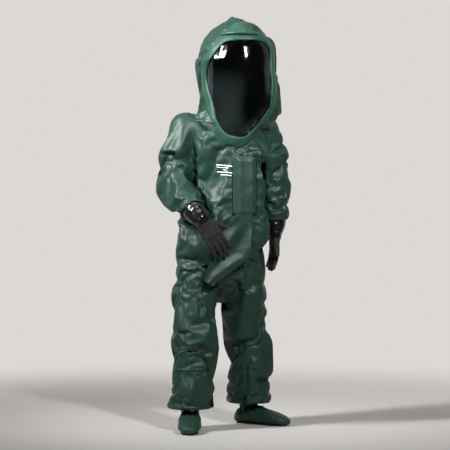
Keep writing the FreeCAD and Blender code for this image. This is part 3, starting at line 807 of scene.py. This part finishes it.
def carried(point, lift=0.0):
    """Where a point of the unsettled garment is after settling, lifted off the cloth."""
    near, _, index, _ = BEFORE_TREE.find_nearest(point)
    a, b, c = TRIANGLES[index]
    there = barycentric_transform(near, BEFORE[a], BEFORE[b], BEFORE[c], AFTER[a], AFTER[b], AFTER[c])
    outward = barycentric_transform(near, BEFORE[a], BEFORE[b], BEFORE[c],
                                    AFTER_NORMALS[a], AFTER_NORMALS[b], AFTER_NORMALS[c])
    return there + outward.normalized() * lift


def cut_piece(obj, number, name):
    """One labelled piece of the garment as an object of its own, with the whole garment's normals."""
    faces = [list(p.vertices) for p in obj.data.polygons if p.material_index == number]
    used = sorted({v for face in faces for v in face})
    place = {v: i for i, v in enumerate(used)}
    piece = new_object(name, [AFTER[v] for v in used], [[place[v] for v in face] for face in faces])
    piece.data.normals_split_custom_set_from_vertices([AFTER_NORMALS[v] for v in used])
    return piece


cloth = {name: cut_piece(garment, number, name + "_cloth") for number, name in enumerate(LABELS)}
remove(garment)
remove(unsettled)


# ---- Where the cloth pieces are held: the hood, front and back hang from the torso and the splash guards from the shins; sleeves, thighs and knees only stay where they settled ----


def follow_arm_root(obj, side):
    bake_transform(obj)


def follow_elbow(obj, side):
    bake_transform(obj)


def follow_hip(obj, side):
    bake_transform(obj)


def follow_knee(obj, side):
    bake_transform(obj)


def follow_torso(obj, _side):
    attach(obj, "torso")


def follow_shin(obj, side):
    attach(obj, "shin_" + side)


FOLLOW = {"upper_sleeve": follow_arm_root, "lower_sleeve": follow_elbow, "thigh": follow_hip,
          "knee": follow_knee, "splash_guard": follow_shin}


def follow(obj, piece):
    """Hangs obj from the torso or a shin as that cloth piece is; for sleeves, thighs and knees it only
    fixes obj in place.
    """
    kind, _, side = piece.rpartition("_")
    FOLLOW.get(kind, follow_torso)(obj, side)


STANDS_FOR = {
    "hood_cloth": ["hood_shell", "yoke_panel"],
    "front_right": ["front_panel_right", "front_gusset"],
    "front_left": ["front_panel_left", "inner_splash_flap"],
    "back": ["back_panel"],
}
for side in SIDES:
    STANDS_FOR["upper_sleeve_" + side] = ["shoulder_gusset_" + side, "upper_sleeve_" + side]
    STANDS_FOR["lower_sleeve_" + side] = ["elbow_gusset_" + side, "lower_sleeve_" + side]
    STANDS_FOR["thigh_" + side] = ["hip_gusset_" + side, "thigh_" + side]
    STANDS_FOR["knee_" + side] = ["knee_gusset_" + side, "shin_" + side]
    STANDS_FOR["splash_guard_" + side] = ["splash_guard_" + side]


# ---- Seam tapes and other strips that lie on the cloth ----

def path_between(points, step):
    """Points spread along straight runs between the given ones."""
    spread = []
    for a, b in zip(points, points[1:]):
        count = max(1, round((b - a).length / step))
        spread += [along(a, b, i / count) for i in range(count)]
    return spread + [points[-1]]


def strip_on_cloth(name, path, width, across, lift=0.0016, thickness=0.0012):
    """A raised tape along a path on the garment; across is the direction of its width."""
    rows = []
    side_step = across * (width / 2)
    for point in path:
        rows.append([carried(point - side_step, lift * 0.4), carried(point - side_step * 0.5, lift),
                     carried(point, lift), carried(point + side_step * 0.5, lift),
                     carried(point + side_step, lift * 0.4)])
    strip = ring_stack(name, rows, closed=False, looped=False)
    return thickened(strip, thickness, 0)


def yoke_path(first, last):
    path = []
    for turn in np.arange(first, last, 1.6):
        angle = math.radians(turn)
        path.append(CHEST_MIDDLE + Vector((0.17 * math.sin(angle), -0.16 * math.cos(angle),
                                           yoke_height(turn))))
    return path


def vertical_path(x, y, top, bottom):
    return path_between([Vector((x, y, top)), Vector((x, y, bottom))], 0.008)


# ---- Hood: binding, clear visor, cream tape, brim and the hood's inside; binding and brim painted lighter as painted light, the inside painted near black as painted shade ----

def window_point(index, grow, out):
    """A point beside the window's edge: grow is how far outside it along the hood."""
    here = WINDOW_LOOP[index % WINDOW_COUNT]
    before = WINDOW_LOOP[(index - 2) % WINDOW_COUNT]
    after = WINDOW_LOOP[(index + 2) % WINDOW_COUNT]
    run = (after - before).normalized()
    outward = Vector((-run.y, run.x))
    if outward.dot(here) < 0:
        outward = -outward
    there = here + outward * grow
    return hood_point(WINDOW_TURN + there.x / HOOD_RADIUS, WINDOW_MIDDLE + there.y, out)


def window_band(name, profile, thickness):
    """A band round the window; profile gives (distance outside the edge, distance off the hood)."""
    rings = []
    for grow, out in profile:
        ring = []
        for index in range(WINDOW_COUNT):
            spot = window_point(index, grow, 0)
            ripple = noise.noise(spot * 45) + 0.8 * noise.noise(spot * 18)
            ring.append(window_point(index, grow, out + 0.0014 * ripple))
        rings.append(ring)
    return thickened(ring_stack(name, rings, closed=False), thickness, 0)


def visor_film():
    """The clear sheet, following the hood's form inside the window."""
    rows = []
    for share in np.linspace(1.06, 0.002, 22):
        row = []
        for here in WINDOW_LOOP:
            there = here * share
            wave = 0.0022 * noise.noise(Vector((there.x * 16, there.y * 7, 4.0)))
            wave += 0.0010 * noise.noise(Vector((there.x * 60, there.y * 24, 8.0)))
            row.append(hood_point(WINDOW_TURN + there.x / HOOD_RADIUS, WINDOW_MIDDLE + there.y,
                                  -0.003 + wave * min(1.0, (1.06 - share) * 5)))
        rows.append(row)
    return thickened(ring_stack("visor_film", rows, closed=False), 0.0008, 0)


def inner_tape():
    """Cream tape that holds the film's edge inside, wider beside the wearer's left cheek."""
    rings = []
    for part in (0.0, 0.5, 1.0):
        ring = []
        for index in range(WINDOW_COUNT):
            here = WINDOW_LOOP[index]
            height = WINDOW_MIDDLE + here.y
            left = smooth_step(here.x, 0.06, 0.14)
            wide = 0.024 * left * smooth_step(height, 1.47, 1.53) * (1 - smooth_step(height, 1.62, 1.68))
            ring.append(window_point(index, 0.010 - (0.012 + wide) * part, -0.008))
        rings.append(ring)
    return thickened(ring_stack("inner_tape", rings, closed=False), 0.0008, 0)


def brim():
    """The stiff fold of cloth that stands over the visor's top."""
    forward = Vector((math.sin(WINDOW_TURN), -math.cos(WINDOW_TURN), 0))
    rows = []
    count = 40
    for i in range(count + 1):
        share = i / count * 2 - 1
        reach = 1 - abs(share) ** 2.6
        edge = hood_point(WINDOW_TURN + 0.62 * share, 1.757, 0.004)
        upper = hood_point(WINDOW_TURN + 0.46 * share, 1.819, 0.004)
        ripple = 0.003 * noise.noise(Vector((share * 5, 2.0, 0.0)))
        bottom = edge + forward * (0.004 + 0.004 * reach)
        lip = edge + forward * (0.012 + 0.010 * reach + ripple) + UP * (0.004 + 0.004 * reach)
        crest = upper + forward * (0.030 * reach + ripple) - UP * 0.004
        top = upper + forward * 0.018 * reach + UP * 0.002
        rows.append([edge, bottom, lip, along(lip, crest, 0.5) + forward * 0.002, crest, top,
                     upper - forward * 0.012])
    return subdivided(ring_stack("brim", rows, closed=False, looped=False))


def shaded_hood_inside():
    """The hood's inside seen through the visor: a sheet painted near black as painted shade."""
    inner = [s for s in HOOD_FORM if 1.30 < s[0]]
    shell = ring_stack("hood_inside_shade", level_rings(inner, 0.93), closed=False)
    return keep_where(shell, lambda p: window_distance(p) > 0.012 or p.y > SHIFT.y)


# ---- Storm flap, its loose tail, and the hem beside the zipper ----

FLAP_LOW, FLAP_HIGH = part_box("storm_flap")
FLAP_FACE = FLAP_LOW.y + 0.0008
HINGE_X = JOINT["storm_flap_hinge"].x


def storm_flap():
    """The flap over the closure: flat over the zipper, bent back along its free edge and its top."""
    rows = []
    for z in np.linspace(FLAP_LOW.z - 0.004, FLAP_HIGH.z + 0.008, 44):
        row = []
        near_top = smooth_step(z, FLAP_HIGH.z - 0.016, FLAP_HIGH.z + 0.008)
        for share in (0, 0.012, 0.03, 0.1, 0.2, 0.3, 0.4, 0.5, 0.6, 0.7, 0.8, 0.88, 0.93, 0.97, 1.0):
            x = HINGE_X + (FLAP_LOW.x - 0.016 - HINGE_X) * share
            wave = 0.0022 * noise.noise(Vector((x * 22, z * 13, 1.0)))
            near_foot = 1 - smooth_step(z, FLAP_LOW.z - 0.004, FLAP_LOW.z + 0.010)
            back = max(smooth_step(share, 0.70, 1.0), 0.7 * near_top, 0.12 * near_foot)
            edge = 0.0006 if share in (0.03, 0.93) else 0
            row.append(Vector((x, FLAP_FACE + wave * (1 - back) + 0.0125 * back - edge, z)))
        rows.append(row)
    return thickened(ring_stack("storm_flap_cloth", rows, closed=False, looped=False), 0.0014, 0)


def hinge_hem():
    """The strip on which the flap is sewn, from the cloth up to the flap's hinge edge."""
    rows = []
    for z in np.linspace(FLAP_LOW.z - 0.004, FLAP_HIGH.z, 40):
        wave = 0.0010 * noise.noise(Vector((3.0, z * 14, 1.0)))
        section = ((0.026, PLATE_Y + 0.003), (0.018, PLATE_Y - 0.005), (0.009, FLAP_FACE + 0.005 + wave),
                   (0.0022, FLAP_FACE + 0.0006), (0.0012, FLAP_FACE + 0.003))
        rows.append([Vector((HINGE_X + x, y, z)) for x, y in section])
    return thickened(ring_stack("flap_hem", rows, closed=False, looped=False), 0.0012, 0)


TAIL_OUTER = [Vector((FLAP_LOW.x, 0, 0.963)), Vector((-0.099, 0, 0.840)), Vector((-0.175, 0, 0.672))]
TAIL_INNER = [Vector((HINGE_X, 0, 0.963)), Vector((0.047, 0, 0.762)), Vector((-0.124, 0, 0.643))]
TAIL_SPLIT = 0.44
TAIL_STEPS = 60


def on_run(points, share):
    lengths = [(b - a).length for a, b in zip(points, points[1:])]
    reach = share * sum(lengths)
    for a, b, length in zip(points, points[1:], lengths):
        if reach <= length + 1e-9:
            return along(a, b, min(1.0, reach / length))
        reach -= length
    return points[-1]


def tail_rows(first, last, folded, count=28):
    """Rows across the flap's tail between two shares of its length, in one plane unless folded."""
    rows = []
    for share in np.linspace(first, last, count):
        outer, inner = on_run(TAIL_OUTER, share), on_run(TAIL_INNER, share)
        row = []
        for across in np.linspace(0, 1, 26):
            p = along(outer, inner, across)
            if folded:
                fold = 0.0065 * smooth_step(share, 0.08, 0.35) * math.sin(across * 9.0 + share * 6.0)
                fold += 0.0035 * noise.noise(Vector((across * 3, share * 4, 2.0)))
                p.y = FLAP_FACE + 0.0016 + fold
            row.append(p)
        rows.append(row)
    return rows


def outline_area(rows):
    """Area inside the outline of rows that lie in one plane."""
    outline = [row[0] for row in rows] + rows[-1][1:]
    outline += [row[-1] for row in rows[::-1]][1:] + rows[0][::-1][1:-1]
    total = 0.0
    for a, b in zip(outline, outline[1:] + outline[:1]):
        total += a.x * b.z - b.x * a.z
    return abs(total) / 2


def cloth_face(x, z):
    """How far forwards the settled cloth reaches at a place on the front."""
    place = AFTER_TREE.ray_cast(Vector((x, -0.4, z)), Vector((0, 1, 0)))[0]
    return place.y if place else 0.0


def laid_over(rows, gap):
    """Moves rows of points forwards where the cloth below would come through, and evens them out."""
    limits = [[cloth_face(p.x, p.z) - gap for p in row] for row in rows]

    def keep_clear():
        for row, row_limits in zip(rows, limits):
            for p, limit in zip(row, row_limits):
                p.y = min(p.y, limit)

    keep_clear()
    for _ in range(13):
        before = [[p.y for p in row] for row in rows]
        for i in range(1, len(rows) - 1):
            for j in range(1, len(rows[0]) - 1):
                near = (before[i - 1][j] + before[i + 1][j] + before[i][j - 1] + before[i][j + 1]) / 4
                rows[i][j].y = (before[i][j] + near) / 2
        keep_clear()
    return rows


def tail_half(name, rows, first, last):
    plain = tail_rows(first, last, False)
    half = ring_stack(name, rows, closed=False, looped=False)
    outline_area(plain)
    return half


# ---- Gloves and booties ----

FINGERTIP = {"right": Vector((-0.0742, -0.1766, 0.775)), "left": Vector((0.2188, 0.0084, 0.697))}
THUMB = {"right": Vector((0.81, 0, 0.59)), "left": Vector((0, -1, 0.06))}
PALM_SIDE = {"right": -1, "left": 1}
FINGER_SHORT = (0.006, 0.000, 0.005, 0.019)
FINGER_STEP = 0.0212
KNUCKLE = 0.074
PALM = ((0.006, 0.035, 0.029), (0.028, 0.039, 0.024), (0.046, 0.044, 0.020), (0.075, 0.045, 0.017),
        (0.096, 0.042, 0.014))
FORWARD = {"right": Vector((-0.34, -0.94, 0)), "left": Vector((0.60, -0.80, 0))}
FOOT = ((-0.072, 0.016, 0.018), (-0.066, 0.026, 0.024), (-0.044, 0.040, 0.036), (0.006, 0.047, 0.044),
        (0.050, 0.051, 0.041), (0.084, 0.052, 0.036), (0.146, 0.052, 0.028), (0.186, 0.043, 0.021),
        (0.208, 0.027, 0.014), (0.213, 0.012, 0.009))


def hand_frame(side):
    """The wrist, the directions of the thumb, of the depth and of the fingers, and the length."""
    wrist = JOINT[side + "_wrist"]
    axis = FINGERTIP[side] - wrist
    length = axis.length
    axis.normalize()
    thumb = (THUMB[side] - axis * THUMB[side].dot(axis)).normalized()
    return wrist, thumb, axis.cross(thumb), axis, length


def glove_hand(side):
    wrist, thumb, depth, axis, length = hand_frame(side)
    palm_way = PALM_SIDE[side]

    def at(x, y, z):
        return wrist + thumb * x + depth * y * palm_way + axis * z

    rings = []
    for up, wide, deep in PALM:
        rings.append([at(wide * math.cos(t), deep * math.sin(t), up) for t in turns(28)])
    pieces = [ring_stack("palm", rings)]
    for n in range(4):
        x = (1.5 - n) * FINGER_STEP
        tip = length - FINGER_SHORT[n] - 0.011
        middle = KNUCKLE + (tip - KNUCKLE) * 0.5
        line = [at(x, 0, KNUCKLE), at(x * 1.12, 0.003, middle), at(x * 1.20, 0.015, tip)]
        pieces.append(limb("finger", line, (0.0130, 0.0116, 0.0098), 20))
    pieces.append(limb("thumb", [at(0.020, 0.002, 0.026), at(0.052, 0.008, 0.062), at(0.071, 0.012, 0.098)],
                       (0.018, 0.0145, 0.0120), 20))
    hand = voxel_union("glove_" + side, pieces, 0.0026)
    smoothed(hand, 5)

    def detail(p):
        bend = abs(math.sin((p - wrist).dot(axis) * 150))
        crease = noise.ridged_multi_fractal(p * 34, 0.9, 2.0, 3, 0.7, 2.0)
        return 0.0011 * (crease - 1.2) - 0.0006 * (1 - bend) ** 3

    push_out(hand, detail)
    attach(hand, "hand_" + side)
    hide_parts("glove_hand_" + side)
    return hand


def gauntlet(side):
    """The glove's loose glossy cuff, crinkled, from inside the sleeve to the wrist."""
    elbow, wrist = joints(side, "elbow", "wrist")
    forearm = (wrist - elbow).normalized()
    _, thumb, _, axis, _ = hand_frame(side)
    rows = []
    for share in np.linspace(0, 1, 44):
        reach = -0.090 + 0.112 * share
        bend = smooth_step(reach, -0.030, 0.015)
        way = (forearm * (1 - bend) + axis * bend).normalized()
        centre = wrist + (forearm * min(reach, 0) + axis * max(reach, 0))
        across = (thumb - way * thumb.dot(way)).normalized()
        other = way.cross(across)
        wide = 0.049 - 0.012 * smooth_step(share, 0.3, 1.0)
        deep = 0.048 - 0.019 * smooth_step(share, 0.3, 1.0)
        row = []
        for turn in turns(96):
            spot = Vector((math.cos(turn) * 1.1, math.sin(turn) * 1.1, reach * 26 + OUTWARD[side] * 7))
            crinkle = noise.ridged_multi_fractal(spot * 1.9, 0.9, 2.0, 3, 0.8, 2.0) - 1.1
            push = 0.0024 * crinkle
            row.append(centre + across * ((wide + push) * math.cos(turn))
                       + other * ((deep + push) * math.sin(turn)))
        rows.append(row)
    cuff = ring_stack("gauntlet_cuff_" + side, rows, closed=False)
    thickened(cuff, 0.0008)
    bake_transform(cuff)
    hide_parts("gauntlet_" + side)
    return cuff


def full_sine(turn):
    """A sine with a fuller shoulder, for a section between an oval and a box."""
    return math.copysign(abs(math.sin(turn)) ** 0.8, math.sin(turn))


def bootie(side):
    ankle = JOINT[side + "_ankle"]
    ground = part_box("bootie_" + side)[0].z
    origin = Vector((ankle.x, ankle.y, 0))
    forward = FORWARD[side].normalized()
    across = Vector((-forward.y, forward.x, 0))
    rings = []
    for reach, wide, high in FOOT:
        centre = origin + forward * reach + UP * (ground + high)
        rings.append([centre + across * (wide * math.cos(t)) + UP * (high * full_sine(t))
                      for t in turns(32)])
    leg = [[origin - forward * 0.006 + forward * (r * math.cos(t)) + across * (r * math.sin(t)) + UP * z
            for t in turns(32)]
           for z, r in ((0.05, 0.038), (0.10, 0.042), (0.146, 0.044))]
    foot = voxel_union("bootie_cloth_" + side, [ring_stack("foot", rings), ring_stack("leg", leg)], 0.0042)
    smoothed(foot, 8)
    subdivided(foot)

    def detail(p):
        reach = (p - origin).dot(forward)
        instep = smooth_step(p.z, 0.02, 0.06)
        fold = math.sin((reach + 0.6 * p.z) * 190 + 3 * noise.noise(p * 20))
        crease = noise.ridged_multi_fractal(p * 26, 0.9, 2.0, 3, 0.8, 2.0) - 1.2
        return instep * (0.0016 * fold * smooth_step(reach, 0.14, 0.02) + 0.0024 * crease)

    push_out(foot, detail)
    co = coordinates(foot)
    co[:, 2] = np.maximum(co[:, 2], ground)
    set_coordinates(foot, co)
    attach(foot, "foot_" + side)
    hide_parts("bootie_" + side)
    return foot


# ---- Materials ----

def add_node(tree, kind, inputs=(), **settings):
    """A shader node with the given input values, as (name, value) pairs, and settings."""
    node = tree.nodes.new("ShaderNode" + kind)
    for name, value in settings.items():
        setattr(node, name, value)
    for name, value in inputs:
        node.inputs[name].default_value = value
    return node


def wire(tree, *links):
    """Links sockets; each link is (from node, output, to node, input)."""
    for source, output, target, socket in links:
        tree.links.new(source.outputs[output], target.inputs[socket])


def empty_material(name):
    material = bpy.data.materials.new(name)
    material.use_nodes = True
    return material, material.node_tree


def plain_material(name, colour, roughness, metallic=0.0, coat=0.0, shine=0.5):
    material, tree = empty_material(name)
    shader = tree.nodes["Principled BSDF"]
    for socket, value in (("Base Color", (*colour, 1)), ("Roughness", roughness), ("Metallic", metallic),
                          ("Specular IOR Level", shine), ("Coat Weight", coat), ("Coat Roughness", 0.25)):
        shader.inputs[socket].default_value = value
    return material, shader


def textured(tree, scale, kind, detail, stretch=(1, 1, 1)):
    """A noise texture in the object's own coordinates."""
    place = add_node(tree, "TexCoord")
    mapping = add_node(tree, "Mapping", [("Scale", stretch)])
    texture = add_node(tree, "TexNoise", [("Scale", scale), ("Detail", detail)], noise_type=kind)
    wire(tree, (place, "Object", mapping, "Vector"), (mapping, "Vector", texture, "Vector"))
    return texture


def add_bump(tree, shader, heights):
    """Chains bumps and returns the last; heights is a list of (texture, strength, distance)."""
    before = None
    for texture, strength, distance in heights:
        bump = add_node(tree, "Bump", [("Strength", strength), ("Distance", distance)])
        wire(tree, (texture, "Fac", bump, "Height"))
        if before:
            wire(tree, (before, "Normal", bump, "Normal"))
        before = bump
    wire(tree, (before, "Normal", shader, "Normal"))
    return before


def ramp_between(tree, stops):
    """A colour ramp between two stops, each (position, colour)."""
    ramp = add_node(tree, "ValToRGB")
    for element, (position, colour) in zip(ramp.color_ramp.elements, stops):
        element.position = position
        element.color = (*colour, 1)
    return ramp


def fabric(name, colour, roughness, crinkle):
    """Coated woven cloth: fine weave, small creases and a slightly uneven colour."""
    material, shader = plain_material(name, colour, roughness, shine=0.34)
    tree = material.node_tree
    soft = textured(tree, 9.0, "FBM", 3.0, (1.0, 1.0, 1.5))
    creases = textured(tree, 13.0, "RIDGED_MULTIFRACTAL", 2.5, (0.8, 0.8, 1.3))
    weave = textured(tree, 900.0, "FBM", 1.0)
    ramp = ramp_between(tree, ((0.35, [c * 0.86 for c in colour]), (0.68, [c * 1.12 for c in colour])))
    wire(tree, (soft, "Fac", ramp, "Fac"), (ramp, "Color", shader, "Base Color"))
    add_bump(tree, shader, [(soft, 0.30, 0.012), (creases, crinkle, 0.006), (weave, 0.12, 0.0006)])
    return material


def rubber(name, colour, roughness, grain, coat=0.0):
    material, shader = plain_material(name, colour, roughness, coat=coat)
    tree = material.node_tree
    add_bump(tree, shader, [(textured(tree, 60.0, "FBM", 4.0), grain, 0.002)])
    return material


def webbing(name, colour):
    material, shader = plain_material(name, colour, 0.85)
    tree = material.node_tree
    place = add_node(tree, "TexCoord")
    ribs = add_node(tree, "TexWave", [("Scale", 180)], bands_direction="Z")
    wire(tree, (place, "Object", ribs, "Vector"))
    add_bump(tree, shader, [(ribs, 0.5, 0.0006)])
    return material


def clear_film(name):
    """Clear sheet: lets light through and mirrors it along small creases."""
    material, tree = empty_material(name)
    tree.nodes.clear()
    output = add_node(tree, "OutputMaterial")
    mix = add_node(tree, "MixShader")
    through = add_node(tree, "BsdfTransparent", [("Color", (0.86, 0.90, 0.90, 1))])
    mirror = add_node(tree, "BsdfGlossy", [("Roughness", 0.11), ("Color", (0.95, 0.97, 1.0, 1))])
    fresnel = add_node(tree, "Fresnel", [("IOR", 1.36)])
    creases = textured(tree, 14.0, "RIDGED_MULTIFRACTAL", 3.0, (1.6, 1.6, 0.45))
    bump = add_bump(tree, mirror, [(creases, 0.8, 0.006)])
    wire(tree, (bump, "Normal", fresnel, "Normal"), (fresnel, "Fac", mix, "Fac"),
         (through, "BSDF", mix, 1), (mirror, "BSDF", mix, 2), (mix, "Shader", output, "Surface"))
    return material


SUIT = fabric("suit_fabric", (0.0101, 0.0378, 0.0277), 0.48, 0.50)
SEAM = fabric("suit_seam_tape", (0.0110, 0.0405, 0.0295), 0.46, 0.20)
# The binding and the brim are the suit's own cloth; this copy is painted lighter, as painted light where
# the lamps catch them.
PAINTED_LIT_FABRIC = fabric("suit_binding", (0.0150, 0.0620, 0.0430), 0.46, 0.25)
# The hood's inside is the suit's green cloth; this near-black colour is painted shade.
PAINTED_SHADE_INSIDE = fabric("painted_shade_hood_inside", (0.006, 0.012, 0.010), 0.75, 0.30)
BOOTIE = fabric("bootie_fabric", (0.0098, 0.0390, 0.0284), 0.50, 0.55)
FILM = clear_film("clear_film")
CREAM = plain_material("pale_tape", (0.62, 0.60, 0.50), 0.55)[0]
PRINT = plain_material("white_print", (0.72, 0.76, 0.74), 0.5)[0]
GLOVE = rubber("matte_glove", (0.010, 0.009, 0.010), 0.72, 0.30)
CUFF = rubber("glossy_glove", (0.005, 0.005, 0.006), 0.14, 0.45, coat=0.5)
WEBBING = webbing("black_webbing", (0.016, 0.017, 0.018))
PLASTIC = rubber("black_plastic", (0.020, 0.020, 0.022), 0.42, 0.08)
RUBBER = rubber("black_rubber", (0.012, 0.012, 0.012), 0.70, 0.20)
METAL = plain_material("zipper_metal", (0.55, 0.53, 0.48), 0.32, metallic=1.0)[0]


def paint(obj, material):
    obj.data.materials.clear()
    obj.data.materials.append(material)
    return obj


CAD_PAINT = {"suit_fabric": SUIT, "suit_binding": PAINTED_LIT_FABRIC, "clear_film": FILM, "pale_tape": CREAM,
             "black_webbing": WEBBING, "black_plastic": PLASTIC, "zipper_metal": METAL,
             "black_rubber": RUBBER, "glossy_glove": CUFF, "matte_glove": GLOVE}


# ---- Putting the suit together ----

for name in LABELS:
    piece = cloth[name]
    paint(piece, SUIT)
    follow(piece, name)
    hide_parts(*STANDS_FOR[name])


def seam(name, path, width, across, piece):
    """A tape on the cloth that moves with the named cloth piece."""
    strip = strip_on_cloth(name, path, width, across)
    paint(strip, SEAM)
    follow(strip, piece)


seam("yoke_seam", yoke_path(-178, 178), 0.015, UP, "hood_cloth")
seam("front_middle_seam", vertical_path(HINGE_X + 0.004, PLATE_Y, 0.955, WAIST_CUT + 0.01), 0.012,
     Vector((1, 0, 0)), "front_left")
for side in SIDES:
    knee, ankle = joints(side, "knee", "ankle")
    ring = []
    for i in range(61):
        turn = 2 * math.pi * i / 60
        axis = along(knee, ankle, (knee.z - GUARD_TOP + 0.012) / (knee.z - ankle.z))
        ring.append(axis + Vector((0.092 * math.cos(turn), 0.092 * math.sin(turn), 0)))
    seam("guard_seam_" + side, ring, 0.012, UP, "splash_guard_" + side)

BINDING_PROFILE = ((-0.007, -0.001), (-0.006, 0.003), (0.000, 0.0045), (0.008, 0.005), (0.020, 0.005),
                   (0.030, 0.0042), (0.035, 0.0025), (0.037, 0.0002))
binding = window_band("visor_binding_cloth", BINDING_PROFILE, 0.0012)
# The binding gets the lighter copy of the suit's cloth: painted light.
paint(binding, PAINTED_LIT_FABRIC)
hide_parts("visor_binding")
film = paint(visor_film(), FILM)
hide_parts("visor")
tape = paint(inner_tape(), CREAM)
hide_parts("visor_inner_tape")
# The brim gets the lighter copy of the suit's cloth: painted light.
fold = paint(brim(), PAINTED_LIT_FABRIC)
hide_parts("hood_brim")
# The hood's inside is painted near black: painted shade.
inside = paint(shaded_hood_inside(), PAINTED_SHADE_INSIDE)
for piece in (binding, film, tape, fold, inside):
    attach(piece, "torso")

flap = paint(storm_flap(), SUIT)
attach(flap, "storm_flap")
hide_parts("storm_flap")
hem = paint(hinge_hem(), SEAM)
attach(hem, "torso")
tail = laid_over(tail_rows(0.0, 1.0, True, TAIL_STEPS + 1), 0.006)
split = round(TAIL_SPLIT * TAIL_STEPS)
middle = split / TAIL_STEPS
upper_tail = paint(tail_half("flap_tail_upper", tail[:split + 1], 0.0, middle), SUIT)
lower_tail = paint(tail_half("flap_tail_lower", tail[split:], middle, 1.0), SUIT)
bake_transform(upper_tail)
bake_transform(lower_tail)
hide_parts("storm_flap_tail")

for side in SIDES:
    paint(glove_hand(side), GLOVE)
    paint(gauntlet(side), CUFF)
    paint(bootie(side), BOOTIE)


# Plain pale bars instead of any print, on the wearer's right chest.
LABEL_LOW, LABEL_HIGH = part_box("chest_label")
BARS = ((0.00, 0.030, 0.82, 0.0050), (0.00, 0.020, 0.62, 0.0034), (0.30, 0.0105, 0.36, 0.0026),
        (0.02, 0.000, 0.90, 0.0048), (0.16, -0.012, 0.74, 0.0040))


def chest_bar(number, start, rise, share, height):
    length = LABEL_HIGH.x - LABEL_LOW.x
    slope = -0.20
    path = []
    for step in np.linspace(start, start + share * (1 - start), 24):
        x = LABEL_LOW.x + length * step
        z = (LABEL_LOW.z + LABEL_HIGH.z) / 2 + rise + slope * (length * step - length / 2)
        path.append(Vector((x, PLATE_Y + 0.03 * (1 - step), z)))
    bar = strip_on_cloth("chest_bar_%d" % number, path, height, UP, 0.0010, 0.0006)
    paint(bar, PRINT)
    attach(bar, "torso")
    return bar


bars = [chest_bar(number, *sizes) for number, sizes in enumerate(BARS)]
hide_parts("chest_label")

slots = {part["node"]: part["material_slot"] for part in frame["record"]["subparts"]}
for name, node in NODES.items():
    if not node.hide_render:
        paint(node, CAD_PAINT[slots[name]])


# ---- Floor, light and camera ----

BEHIND = Vector((0.34, 0.94, 0))   # the way the camera looks
FLOOR_RADIUS = 5.0
FADE_START = 0.7
FADE_END = 3.6
CAMERA_TURN = math.radians(-20)
CAMERA_DISTANCE = 7.5
CAMERA_HEIGHT = 0.912
CAMERA_RIGHT = -0.018
CAMERA_LENS = 133


def studio_world():
    """Pale behind the object as the camera looks at it, and darker round the rest."""
    world = bpy.data.worlds.new("studio")
    bpy.context.scene.world = world
    world.use_nodes = True
    tree = world.node_tree
    place = add_node(tree, "TexCoord")
    facing = add_node(tree, "VectorMath", operation="DOT_PRODUCT")
    facing.inputs[1].default_value = BEHIND
    ramp = ramp_between(tree, ((0.15, (0.035, 0.035, 0.036)), (0.88, (0.715, 0.690, 0.660))))
    wire(tree, (place, "Generated", facing, 0), (facing, "Value", ramp, "Fac"),
         (ramp, "Color", tree.nodes["Background"], "Color"))


def floor():
    """A round floor that fades into the backdrop, so that no horizon shows."""
    ring = [(FLOOR_RADIUS * math.cos(t), FLOOR_RADIUS * math.sin(t), 0) for t in turns(64)]
    disc = new_object("floor", ring, [list(range(64))], smooth=False)
    material, shader = plain_material("floor_paper", (0.52, 0.505, 0.475), 0.9)
    tree = material.node_tree
    place = add_node(tree, "TexCoord")
    away = add_node(tree, "VectorMath", operation="LENGTH")
    fade = add_node(tree, "MapRange", [("From Min", FADE_START), ("From Max", FADE_END)],
                    interpolation_type="SMOOTHSTEP")
    through = add_node(tree, "BsdfTransparent")
    mix = add_node(tree, "MixShader")
    wire(tree, (place, "Object", away, 0), (away, "Value", fade, "Value"), (fade, "Result", mix, "Fac"),
         (shader, "BSDF", mix, 1), (through, "BSDF", mix, 2),
         (mix, "Shader", tree.nodes["Material Output"], "Surface"))
    disc.data.materials.append(material)


def lamp(name, place, aim, power, wide, tall, spread):
    light = bpy.data.lights.new(name, "AREA")
    light.shape = "RECTANGLE"
    light.energy = power
    light.size = wide
    light.size_y = tall
    light.spread = math.radians(spread)
    holder = bpy.data.objects.new(name, light)
    bpy.context.scene.collection.objects.link(holder)
    holder.location = place
    holder.rotation_euler = (Vector(aim) - Vector(place)).to_track_quat("-Z", "Y").to_euler()


def camera():
    data = bpy.data.cameras.new("camera")
    holder = bpy.data.objects.new("camera", data)
    bpy.context.scene.collection.objects.link(holder)
    right = Vector((math.cos(CAMERA_TURN), math.sin(CAMERA_TURN), 0))
    back = Vector((math.sin(CAMERA_TURN), -math.cos(CAMERA_TURN), 0))
    holder.location = right * CAMERA_RIGHT + back * CAMERA_DISTANCE + UP * CAMERA_HEIGHT
    holder.rotation_euler = (math.radians(90), 0, CAMERA_TURN)
    data.sensor_width = 36
    data.lens = CAMERA_LENS
    bpy.context.scene.camera = holder


studio_world()
floor()
lamp("key", (-2.3, -0.3, 2.9), (0, 0, 1.45), 34, 0.35, 1.1, 75)
lamp("front", (0.1, -2.9, 2.8), (0, 0, 1.45), 20, 0.30, 0.8, 65)
lamp("floor_light", (0.0, -0.4, 5.0), (0, 0, 0), 30, 2.0, 2.0, 180)
camera()
bpy.context.scene.view_settings.view_transform = "Standard"
